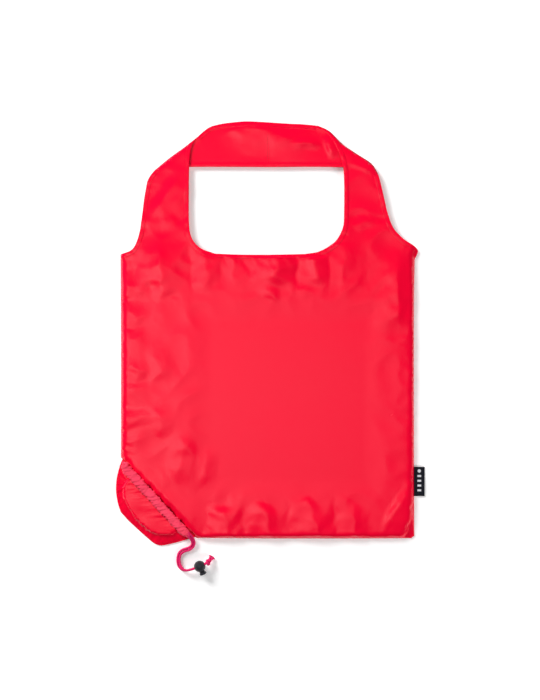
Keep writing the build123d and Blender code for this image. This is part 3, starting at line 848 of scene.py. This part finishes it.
def liftOf(verts, onPanel, onBand):
    # what creases, facets and gathers add to the height of a cloth
    fromEdge = distanceTo(verts, closedEdge)
    edgeFade = smooth(fromEdge / sheet["edgeFade"])
    lift = np.zeros(len(verts))
    for n, (line, left, right, height) in enumerate(bodyCreases):
        low = verts[:, 1] < sheet["creasesEnd"]
        lift += crease(verts, line, left, right, height, n) * edgeFade * onPanel * low
    for creases, seed, part in ((legCreases, 40, onPanel), (bandCreases, 60, onBand)):
        for n, (line, left, right, height) in enumerate(creases):
            lift += crease(verts, line, left, right, height, seed + n) * part
    for n, row in enumerate(pleatRows):
        lift += pleats(verts, row, 80 + n) * onPanel
    inner = edgeLines["rightInner"][8:] + edgeLines["neckline"] + edgeLines["leftInner"][:12]
    lift += puckers(verts, inner, *neckGathers) * onPanel
    for line in ("rightArm", "leftArm"):
        lift += puckers(verts, edgeLines[line], *armGathers) * onPanel
    for line in ("leftSide", "bottomEdge", "rightSide"):
        lift += puckers(verts, edgeLines[line], *seamGathers) * onPanel * smooth(fromEdge / 4)
    mottle = 1.4 * (0.3 - np.abs(wander(verts, 34.0, 9.0))) + 0.6 * wander(verts, 46.0, 4.0)
    return lift + mottle * (calmness(verts) - calm["keep"]) * edgeFade * onPanel


def settledFront(verts, faces, isPanel):
    # the front's body is let go; its seams, its band and its legs, fully from a little above the neckline, are
    # held
    made = toObject("draft", verts, faces, taffeta)
    legs = smooth((verts[:, 1] - 196) / 40)
    pins = np.clip(1.2 - distanceTo(verts, closedEdge) / sheet["pinReach"], 0, 1)
    pins = np.where(isPanel, np.maximum(pins, legs), 1.0)
    settleCloth(made, pins, sheet["growth"], sheet["pressure"], sheet["floor"], sheet["ceiling"], sheet["cap"])
    verts = vertsOf(made)
    bpy.data.objects.remove(made)
    return verts


def bendAtHinge(piece):
    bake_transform(piece)


def buildSide(side):
    front = side == "front"
    ring, spans = ringOf(panelParts, sheet["step"])
    bandRing, bandSpans = ringOf(bandParts, sheet["step"])
    flat, faces = fillSheet(ring, sheet["step"])
    bandFlat, bandFaces = fillSheet(bandRing, sheet["step"], 2)
    legLevel = sheet["legHeight"] if front else sheet["backHeight"]
    bandLevel = sheet["bandHeight"] if front else sheet["backBandHeight"]
    middle = (legLevel + bandLevel) / 2
    heights = panelHeights(flat) if front else np.full(len(flat), sheet["backHeight"])
    up = middle + (heights - middle) * smooth(nearFold(flat) / 4)
    down = middle + (bandLevel - middle) * smooth(nearFold(bandFlat) / 4)
    verts, faces, bandIndex = weld(np.column_stack([flat, up]), faces, np.column_stack([bandFlat, down]),
                                   bandFaces, (len(ring), len(bandRing)))
    isPanel = np.arange(len(verts)) < len(flat)
    area = sheetArea(verts, faces)
    if front:
        verts = settledFront(verts, faces, isPanel)
    # a fourth column says which layer each point is on: 1 the panel with its legs, 0 the band
    verts, faces = refine(np.column_stack([verts, isPanel.astype(float)]), faces)
    layer = verts[:, 3]
    verts = verts[:, :3].copy()
    rest = panelHeights(verts) if front else verts[:, 2].copy()
    held = np.clip(1 - np.minimum(distanceTo(verts, closedEdge), nearFold(verts)) / 3, 0, 1)
    fade = smooth(nearFold(verts) / sheet["foldFade"])
    onPanel, onBand = (layer > 0.75) * fade, (layer < 0.25) * fade
    if front:
        live = evenOut(verts[:, 2], faces, 3, held)
        verts[:, 2] = np.where(onPanel > 0, rest + (live - rest) * calmness(verts), live)
    verts[:, 2] += liftOf(verts, onPanel, onBand) * (1.0 if front else sheet["backLift"])
    if not front:
        verts[:, 2] = np.maximum(verts[:, 2], 0.3)
        faces = faces[:, ::-1]
    name = side + "_cloth"
    made = toObject(name, verts, faces, taffeta)
    thicken(made, sheet["thickness"])
    handle = side + "_handle"
    bendAtHinge(made)
    panelFaces = faces[(layer[faces] > 0.25).all(axis=1)]
    bandOnly = faces[(layer[faces] < 0.75).all(axis=1)]
    print(name, len(faces), "triangles, flat area", round(area * 1e-6, 4), "square metres")
    return {"piece": made, "verts": verts, "ring": ring, "spans": spans, "bandSpans": bandSpans,
            "bandIndex": bandIndex, "area": area, "panel": surfaceOf(verts, panelFaces),
            "band": surfaceOf(verts, bandOnly), "handle": handle}


def sheetArea(verts, faces):
    a, b, c = verts[faces[:, 0], :2], verts[faces[:, 1], :2], verts[faces[:, 2], :2]
    u, v = b - a, c - a
    return float(np.abs(u[:, 0] * v[:, 1] - u[:, 1] * v[:, 0]).sum() / 2)


sides = {side: buildSide(side) for side in ("front", "back")}
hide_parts("front_panel", "front_strap_left", "front_strap_right")
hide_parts("back_panel", "back_strap_left", "back_strap_right")


print("hems and stitches")
hem = {
    "step": 2.0, "gather": 0.22, "gatherSize": 4.2,
    # across the hem: distance in from the edge, and height above the cloth
    "shape": [(1.4, -0.4), (-0.1, -0.2), (-0.2, 0.05), (0.0, 0.2), (0.9, 0.3), (2.6, 0.34), (4.0, 0.3),
              (4.7, 0.16), (5.3, 0.26), (6.2, -0.08)],
    "stitchIn": 4.7, "stitchLift": 0.26,
}


def hemRun(build, pieces, layer):
    # the settled edge of the cloth along some of its stretches, as one smooth run
    spans = build["spans"] if layer == "panel" else build["bandSpans"]
    index = []
    for name in pieces:
        start, end = spans[name]
        index += list(range(start, end + 1))
    if layer == "band":
        index = [build["bandIndex"][i % len(build["bandIndex"])] for i in index]
    index = [i for n, i in enumerate(index) if n == 0 or i != index[n - 1]]
    return through([build["verts"][i] for i in index], hem["step"])


def roomIn(surface, spot, inward, down):
    # share of the hem's width that the cloth has room for here, as where an edge runs into a fold
    width = hem["shape"][-1][0]
    for k in range(1, 13):
        x, y = spot[:2] + inward * (0.4 + width * k / 12)
        if onto(surface, x, y, None, down) is None:
            return (k - 1) / 12
    return 1.0


def hemStrip(build, pieces, layer, way, seed):
    run = hemRun(build, pieces, layer)
    run = run[1:-1] if layer == "panel" else run[2:-2]
    surface = build[layer]
    base = 0.0 if layer == "panel" else sheet["thickness"]
    verts, stitches, travelled = [], [], 0.0
    for i, spot in enumerate(run):
        ahead, behind = run[min(i + 1, len(run) - 1)], run[max(i - 1, 0)]
        way2d = (ahead - behind)[:2]
        way2d /= np.linalg.norm(way2d)
        inward = np.array([-way2d[1], way2d[0]])
        travelled += np.linalg.norm(spot - run[i - 1]) if i else 0.0
        room = roomIn(surface, spot, inward, way > 0)
        for u, lift in hem["shape"]:
            u *= room
            x, y = spot[:2] + inward * u
            under = onto(surface, *(spot[:2] + inward * max(u, 0.6)), spot[2], way > 0)
            wave = hem["gather"] * noise.noise(Vector((travelled / hem["gatherSize"], u / 6, seed)))
            wave *= 1.0 if u > 0.5 and lift > 0 else 0.0
            verts.append((x, y, under + way * (base + lift + wave)))
        if room < 0.9:
            continue
        x, y = spot[:2] + inward * hem["stitchIn"]
        stitches.append((x, y, onto(surface, x, y, spot[2], way > 0) + way * (base + hem["stitchLift"])))
    across = len(hem["shape"])
    faces = []
    for i in range(len(run) - 1):
        for k in range(across - 1):
            quad = (i * across + k, i * across + k + 1, (i + 1) * across + k + 1, (i + 1) * across + k)
            faces.append(quad[::-1] if way > 0 else quad)
    return verts, faces, stitches


def makeStitchTree(name):
    # rows of stitches: small rounded threads spaced along each line of the mesh
    tree = bpy.data.node_groups.new(name, "GeometryNodeTree")
    face = tree.interface
    face.new_socket("Lines", in_out="INPUT", socket_type="NodeSocketGeometry")
    for label in ("Pitch", "Stitch Length", "Thread"):
        face.new_socket(label, in_out="INPUT", socket_type="NodeSocketFloat")
    face.new_socket("Finish", in_out="INPUT", socket_type="NodeSocketMaterial")
    face.new_socket("Stitches", in_out="OUTPUT", socket_type="NodeSocketGeometry")
    given = addNode(tree, "NodeGroupInput").outputs
    curve = addNode(tree, "GeometryNodeMeshToCurve", {"Mesh": given["Lines"]})
    even = addNode(tree, "GeometryNodeResampleCurve",
                   {"Curve": curve.outputs["Curve"], "Length": given["Pitch"]}, mode="LENGTH")
    ball = addNode(tree, "GeometryNodeMeshUVSphere", {"Segments": 6, "Rings": 4, "Radius": 0.5})
    size = addNode(tree, "ShaderNodeCombineXYZ", {"X": given["Thread"], "Y": given["Thread"],
                                                  "Z": given["Stitch Length"]})
    thread = addNode(tree, "GeometryNodeTransform",
                     {"Geometry": ball.outputs["Mesh"], "Scale": size.outputs[0]})
    tangent = addNode(tree, "GeometryNodeInputTangent").outputs["Tangent"]
    turn = addNode(tree, "FunctionNodeAlignRotationToVector", {"Vector": tangent}, axis="Z")
    placed = addNode(tree, "GeometryNodeInstanceOnPoints", {"Points": even.outputs["Curve"],
                                                            "Instance": thread.outputs["Geometry"],
                                                            "Rotation": turn.outputs["Rotation"]})
    real = addNode(tree, "GeometryNodeRealizeInstances", {"Geometry": placed.outputs["Instances"]})
    soft = addNode(tree, "GeometryNodeSetShadeSmooth", {"Geometry": real.outputs["Geometry"]})
    done = addNode(tree, "GeometryNodeSetMaterial", {"Geometry": soft.outputs["Geometry"],
                                                     "Material": given["Finish"]})
    addNode(tree, "NodeGroupOutput", {"Stitches": done.outputs["Geometry"]})
    return tree


stitchTree = makeStitchTree("stitch rows")
stitch = {"pitch": 2.6, "length": 2.2, "thread": 0.5}      # thread drawn half as thick again so that it shows


def stitchRows(name, runs, **own):
    # own holds the settings in which these stitches differ from the rest
    size = {**stitch, **own}
    verts, edges = [], []
    for run in runs:
        edges += [(len(verts) + i, len(verts) + i + 1) for i in range(len(run) - 1)]
        verts += [tuple(Vector(p) * mm) for p in run]
    mesh = bpy.data.meshes.new(name)
    mesh.from_pydata(verts, edges, [])
    made = bpy.data.objects.new(name, mesh)
    scene.collection.objects.link(made)
    sewing = made.modifiers.new("sewing", "NODES")
    sewing.node_group = stitchTree
    given = {"Pitch": size["pitch"] * mm, "Stitch Length": size["length"] * mm, "Thread": size["thread"] * mm,
             "Finish": redThread}
    for item in stitchTree.interface.items_tree:
        if item.name in given:
            sewing[item.identifier] = given[item.name]
    baked(made)
    made.data.materials.clear()
    made.data.materials.append(redThread)
    return made


hemPlan = [(("rightArm",), "panel"), (("rightInner", "neckline", "leftInner"), "panel"),
           (("leftArm",), "panel"), (("bandLower",), "band"), (("bandUpper",), "band")]
joinSeam = {"low": 303.0, "high": 350.0, "step": 1.5, "gap": 2.4, "lift": 0.15, "thread": 0.32}
for side, build in sides.items():
    verts, faces, rows = [], [], []
    way = 1 if side == "front" else -1
    for n, (pieces, layer) in enumerate(hemPlan):
        v, f, row = hemStrip(build, pieces, layer, way, 20 + n)
        faces += [tuple(i + len(verts) for i in face) for face in f]
        verts += v
        rows.append(row)
    strip = toObject(side + "_hems", verts, faces, taffeta)
    sewn = stitchRows(side + "_hem_stitches", rows)
    for piece in (strip, sewn):
        bendAtHinge(piece)
    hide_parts(f"neck_hem_{side}", f"arm_hem_{side}", f"{side}_strap_hems")
    level = way * (sheet["thickness"] + joinSeam["lift"])
    join = [(0.0, y, onto(build["band"], 0.0, y, sheet["bandHeight"], way > 0) + level)
            for y in np.arange(joinSeam["low"], joinSeam["high"], joinSeam["step"])]
    joinRows = [join, [(x + joinSeam["gap"], y, z) for x, y, z in join]]
    joinSewn = stitchRows(side + "_join_stitches", joinRows, thread=joinSeam["thread"])
    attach(joinSewn, build["handle"])
    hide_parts(side + "_join_seam")

seamLines = [[(p[0], p[1], sheet["seamHeight"] - 0.1) for p in through(line, 4.0)] for line in (
    [(-188, 180), (-187.6, 60), (-187.6, -78)], [(-186.5, -80), (-140, -128.6), (-94, bottomY + 3.5)],
    [(-88, bottomY + 3), (40, bottomY + 2.6), (184, bottomY + 3)],
    [(187.6, bottomY + 6), (187.4, 0), (187.6, 120), (188.2, 176)])]
overlock = stitchRows("seam_overlock", seamLines, pitch=1.5, length=1.3, thread=0.6)
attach(overlock, "bag")
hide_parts("side_seam_left", "side_seam_right", "bottom_seam", "corner_seam")


print("pouch")
pouch = {
    "step": 3.2, "seamHeight": 0.95, "height": 6.6, "rise": 44.0, "casingLine": 6.0, "middle": 76,
    "growth": 0.015, "pressure": 0.8, "floor": 0.8, "ceiling": 7.2, "cap": 5.0,
    "flat": (0.178, 0.056), "backFlat": (0.178, 0.06),
    "backExtra": 1.12,      # the back goes on under the casing
}
mouthGathers = (15.0, 4.6, 0.9, 2.5, 0.7)
pouchGathers = (7, 6.0, 0.5, 4.5, 0.3)
pouchSide = [(7.5, 0.3), (8.5, 6), (12.5, 14.5), (21, 27.7), (32, 39.3), (42, 46.5), (49, 50.5), (57, 54)]
pouchBase = [(57, 54), (71, 54.3), (92, 52.8), (112, 50.8), (118, 49.6)]
pouchEnd = [(118, 49.6), (123, 46.6), (127.6, 41.3), (136.3, 26.2), (143.6, 11.8), (147, 5), (146, 0.3)]
pouchOutline = [atMouth(*p) for p in joined([pouchSide, pouchBase, pouchEnd], pouch["step"])]
mouthLine = [atMouth(s, pouch["casingLine"]) for s in np.arange(8.7, 146.6, pouch["step"])]


def woundLeft(ring):
    # the ring, turned so that its inside is on the left
    ring = [tuple(p[:2]) for p in ring]
    turn = sum(a[0] * b[1] - b[0] * a[1] for a, b in zip(ring, ring[1:] + ring[:1]))
    return ring if turn > 0 else ring[::-1]


def buildPouchFront():
    outline = [p for p in pouchOutline if along(np.array([p]), [atMouth(-20, 0), atMouth(170, 0)])[0][0]
               > pouch["casingLine"]]
    ring = woundLeft(outline + mouthLine[::-1])
    flat, faces = fillSheet(ring, pouch["step"], 3)
    rise = distanceTo(flat, pouchOutline)
    share = 1 - np.exp(-rise / pouch["rise"] * 2.0)
    z = pouch["seamHeight"] + (pouch["height"] - pouch["seamHeight"]) * share
    made = toObject("draft", np.column_stack([flat, z]), faces, taffeta)
    pins = np.clip(1.3 - np.minimum(rise, distanceTo(flat, mouthLine)) / 3.5, 0, 1)
    settleCloth(made, pins, pouch["growth"], pouch["pressure"], pouch["floor"], pouch["ceiling"], pouch["cap"])
    verts = vertsOf(made)
    bpy.data.objects.remove(made)
    verts, faces = refine(verts, faces)
    verts, faces = refine(verts, faces)
    fromEdge = distanceTo(verts, pouchOutline)
    verts[:, 2] = evenOut(verts[:, 2], faces, 4, np.clip(1 - fromEdge / 3, 0, 1))
    edge = smooth(fromEdge / 8)
    verts[:, 2] += puckers(verts, mouthLine, *mouthGathers) * edge
    verts[:, 2] += puckers(verts, pouchOutline, *pouchGathers) * smooth(fromEdge / 3)
    verts[:, 2] += wander(verts, 22.0, 6.0) * 0.6 * edge
    area = sheetArea(verts, faces)
    made = toObject("pouch_front_cloth", verts, faces, taffeta)
    thicken(made, sheet["thickness"])
    return made, area, surfaceOf(verts, faces)


def buildPouchBack():
    ring = woundLeft(pouchOutline)
    flat, faces = fillSheet(ring, pouch["step"], 4)
    z = np.full(len(flat), sheet["backHeight"]) + wander(flat, 25.0, 3.0) * 0.1
    made = toObject("pouch_back_cloth", np.column_stack([flat, z]), faces[:, ::-1], taffeta)
    thicken(made, sheet["thickness"])
    return made


pouchFront, pouchArea, pouchTop = buildPouchFront()
pouchBack = buildPouchBack()
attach(pouchFront, "pouch")
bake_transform(pouchBack)
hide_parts("pouch_front")
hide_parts("pouch_back")

casing = {
    "start": 9.5, "end": 140.5, "out": 10.2, "level": 7.9, "wide": 5.7, "tall": 2.3, "step": 0.7,
    "around": 36, "pleat": 0.22, "pleatSize": 4.6, "tuck": 2.8, "dip": 1.6, "square": 0.8, "cordLevel": 7.95,
    # colour and shade are painted lighter and paler than the body cloth's: painted sheen for the light the
    # casing's gathers catch
    "colour": "ff4a68", "shade": "f43656", "roughness": 0.45,
}
# the casing's own copy of the taffeta, painted lighter as painted sheen
gatheredWithPaintedSheen = makeTaffeta("woven polyester taffeta, gathered", casing["colour"], casing["shade"],
                       casing["roughness"])


def squared(value):
    # rounds the casing's section a little towards a flat strip
    return math.copysign(abs(value) ** casing["square"], value)


def buildCasing():
    n = casing["around"]
    verts, rings = [], 0
    for s in np.arange(casing["start"], casing["end"], casing["step"]):
        into = s - casing["start"]
        ends = smooth(into / 7) * (0.45 + 0.55 * smooth((casing["end"] - s) / 9))
        tuck = casing["tuck"] * (1 - smooth(into / 12))
        out = casing["out"] + 1.1 * noise.noise(Vector((s / 15, 0, 3.3))) - tuck
        dip = casing["dip"] * (1 - smooth(into / 10))
        level = casing["level"] - dip + 0.5 * noise.noise(Vector((s / 11, 5, 1)))
        wide = casing["wide"] * (1 + 0.13 * noise.noise(Vector((s / 9, 2, 8))))
        for k in range(n):
            c, d = math.cos(2 * math.pi * k / n), math.sin(2 * math.pi * k / n)
            pleat = noise.noise(Vector((s / casing["pleatSize"] * 1.6 + c * 1.5, d * 1.3, 4.0)))
            fine = noise.noise(Vector((s / 1.9, c * 1.5, d + 9.0)))
            reach = max(ends, 0.12) * (1 + casing["pleat"] * (1.6 * pleat + 0.7 * fine))
            verts.append(atMouth(s, out + squared(c) * wide * reach,
                                 level + squared(d) * casing["tall"] * reach))
        rings += 1
    faces = [(i * n + k, (i + 1) * n + k, (i + 1) * n + (k + 1) % n, i * n + (k + 1) % n)
             for i in range(rings - 1) for k in range(n)]
    made = toObject("casing_cloth", verts, faces, gatheredWithPaintedSheen)
    outward(made)
    return thicken(made, sheet["thickness"])


def outward(made):
    # a closed or tube-like mesh with all its faces turned outwards
    store = bmesh.new()
    store.from_mesh(made.data)
    bmesh.ops.remove_doubles(store, verts=store.verts, dist=1e-6)
    bmesh.ops.recalc_face_normals(store, faces=store.faces)
    store.to_mesh(made.data)
    store.free()
    made.data.polygons.foreach_set("use_smooth", [True] * len(made.data.polygons))


casingCloth = buildCasing()
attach(casingCloth, "pouch")
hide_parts("cord_casing")
# along the casing and out from its seam: in from the open end, round at the closed end and back
hiddenRoute = [(138.4, 7.3), (100, 7.5), (60, 7.3), (21, 7.4), (15.5, 8.4), (15.5, 11.6), (21, 12.5),
               (60, 12.4), (100, 11.6), (138.4, 10.3)]
hiddenPath = splinePath("hidden", [atMouth(s, out, casing["cordLevel"]) for s, out in hiddenRoute])
insideCord = tubeMesh("cord_in_casing_braid", spaced(hiddenPath, 0.8), cord["diameter"] / 2, braid, 12)
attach(insideCord, "pouch")
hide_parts("cord_in_casing")


def onPouch(points, lift):
    return [(x, y, onto(pouchTop, x, y, pouch["seamHeight"] + 0.2) + lift) for x, y, _ in points]


casingRow = onPouch([atMouth(s, 15.6) for s in np.arange(17, 137, 1.5)], 0.12)
insetOutline = [(p[0] + (pouch["middle"] - p[0]) * 0.045, p[1] - 2.2)
                for p in joined([pouchSide[1:], pouchBase, pouchEnd[:-1]], 3.0) if p[1] > 9]
pouchRow = onPouch([atMouth(*p) for p in insetOutline], 0.1)
tackLevel = casing["level"] + casing["tall"] * 0.9
tackRows = [[atMouth(s, t, tackLevel) for t in (7.2, 13.2)] for s in (12.2, 13.2, 14.2)]
casingSewn = stitchRows("casing_stitches", [casingRow])
pouchSewn = stitchRows("pouch_edge_stitches", [pouchRow])
tackSewn = stitchRows("casing_tack_stitches", tackRows, pitch=1.2, length=1.3)
for piece, node in ((casingSewn, "casing_stitch"), (pouchSewn, "pouch_seam"), (tackSewn, "casing_bar_tack")):
    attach(piece, "pouch")
    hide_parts(node)


print("label")
labelLow, labelHigh = [[v / mm for v in c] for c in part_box("side_label")]
label = {
    "ply": 0.35, "rows": 20, "ground": "14161f", "mark": "d9dbe0",
    "barPitch": 6.2, "barWidth": 0.42, "bars": (0.16, 0.74), "across": (0.34, 0.68), "dot": 0.86,
    "dotRadius": 2.2, "thread": 0.6, "wave": 0.35, "tucked": 2.0,
}
labelWide, labelLong = labelHigh[0] - labelLow[0], labelHigh[1] - labelLow[1]


def makeLabelWeave(name):
    # satin-woven polyester tape: dark ground with a row of plain pale bars and a dot
    material, tree, shader = newMaterial(name)
    uv = addNode(tree, "ShaderNodeUVMap", uv_map="tape").outputs["UV"]
    parts = addNode(tree, "ShaderNodeSeparateXYZ", {"Vector": uv})
    steps = addNode(tree, "ShaderNodeMath", {0: parts.outputs["Y"], 1: labelLong / label["barPitch"]},
                    operation="MULTIPLY")
    repeat = addNode(tree, "ShaderNodeMath", {0: steps.outputs[0]}, operation="FRACT")
    bar = addNode(tree, "ShaderNodeMath", {0: repeat.outputs[0], 1: label["barWidth"]}, operation="LESS_THAN")
    limits = [(parts.outputs["Y"], label["bars"]), (parts.outputs["X"], label["across"])]
    mark = bar.outputs[0]
    for value, (low, high) in limits:
        above = addNode(tree, "ShaderNodeMath", {0: value, 1: low}, operation="GREATER_THAN").outputs[0]
        below = addNode(tree, "ShaderNodeMath", {0: value, 1: high}, operation="LESS_THAN").outputs[0]
        both = addNode(tree, "ShaderNodeMath", {0: above, 1: below}, operation="MULTIPLY").outputs[0]
        mark = addNode(tree, "ShaderNodeMath", {0: mark, 1: both}, operation="MULTIPLY").outputs[0]
    off = []
    for axis, middle, side in (("X", sum(label["across"]) / 2, labelWide), ("Y", label["dot"], labelLong)):
        share = addNode(tree, "ShaderNodeMath", {0: parts.outputs[axis], 1: middle},
                        operation="SUBTRACT").outputs[0]
        off.append(addNode(tree, "ShaderNodeMath", {0: share, 1: side}, operation="MULTIPLY").outputs[0])
    spread = addNode(tree, "ShaderNodeCombineXYZ", {"X": off[0], "Y": off[1]})
    far = addNode(tree, "ShaderNodeVectorMath", {0: spread.outputs[0]}, operation="LENGTH").outputs["Value"]
    dot = addNode(tree, "ShaderNodeMath", {0: far, 1: label["dotRadius"]}, operation="LESS_THAN").outputs[0]
    mark = addNode(tree, "ShaderNodeMath", {0: mark, 1: dot}, operation="MAXIMUM").outputs[0]
    tree.links.new(mixTones(tree, mark, label["ground"], label["mark"]), shader.inputs["Base Color"])
    # weft threads 0.6 mm apart, drawn about twice their real size so that they show
    scale = math.pi / 10 / (label["thread"] * mm)
    place = addNode(tree, "ShaderNodeTexCoord").outputs["Object"]
    weft = addNode(tree, "ShaderNodeTexWave", {"Vector": place, "Scale": scale, "Distortion": 0.3},
                   bands_direction="Y")
    bump = addNode(tree, "ShaderNodeBump", {"Height": weft.outputs["Fac"], "Strength": 0.25,
                                            "Distance": 0.1 * mm})
    tree.links.new(bump.outputs["Normal"], shader.inputs["Normal"])
    shader.inputs["Roughness"].default_value = 0.5
    return material


def buildLabel():
    # one loop of tape, folded at its outer edge, with both ends sewn into the side seam
    left, right = labelLow[0] - label["tucked"], labelHigh[0]
    section = [(left, 0.3), (right - 4, 0.26), (right - 0.7, 0.3), (right - 0.15, 0.55), (right - 0.7, 0.85),
               (right - 4, 0.9), (left, 1.0)]
    section = [tuple(p) for p in through(section, 0.8)]
    rows, n = label["rows"], len(section)
    verts = []
    for j in range(rows + 1):
        y = labelLow[1] + labelLong * j / rows
        for x, z in section:
            wave = label["wave"] * math.sin(j / rows * 5.0) * smooth((x - left) / 14)
            verts.append((x, y, z + label["wave"] + float(wave)))
    faces = [(j * n + k, j * n + k + 1, (j + 1) * n + k + 1, (j + 1) * n + k)
             for j in range(rows) for k in range(n - 1)]
    made = toObject("woven_label", verts, faces, makeLabelWeave("satin-woven label tape, black"))
    uv = made.data.uv_layers.new(name="tape")
    for loop in made.data.loops:
        x, y, z = made.data.vertices[loop.vertex_index].co / mm
        uv.data[loop.index].uv = ((x - labelLow[0]) / labelWide, (y - labelLow[1]) / labelLong)
    return thicken(made, label["ply"], 0.0)


labelPiece = buildLabel()
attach(labelPiece, "bag")
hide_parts("side_label")
labelSewn = stitchRows("label_stitches", [[(labelLow[0] - 3.0, y, sheet["seamHeight"] + 1.6)
                                          for y in np.arange(labelLow[1], labelHigh[1], 2.0)]])
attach(labelSewn, "bag")
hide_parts("label_stitch")
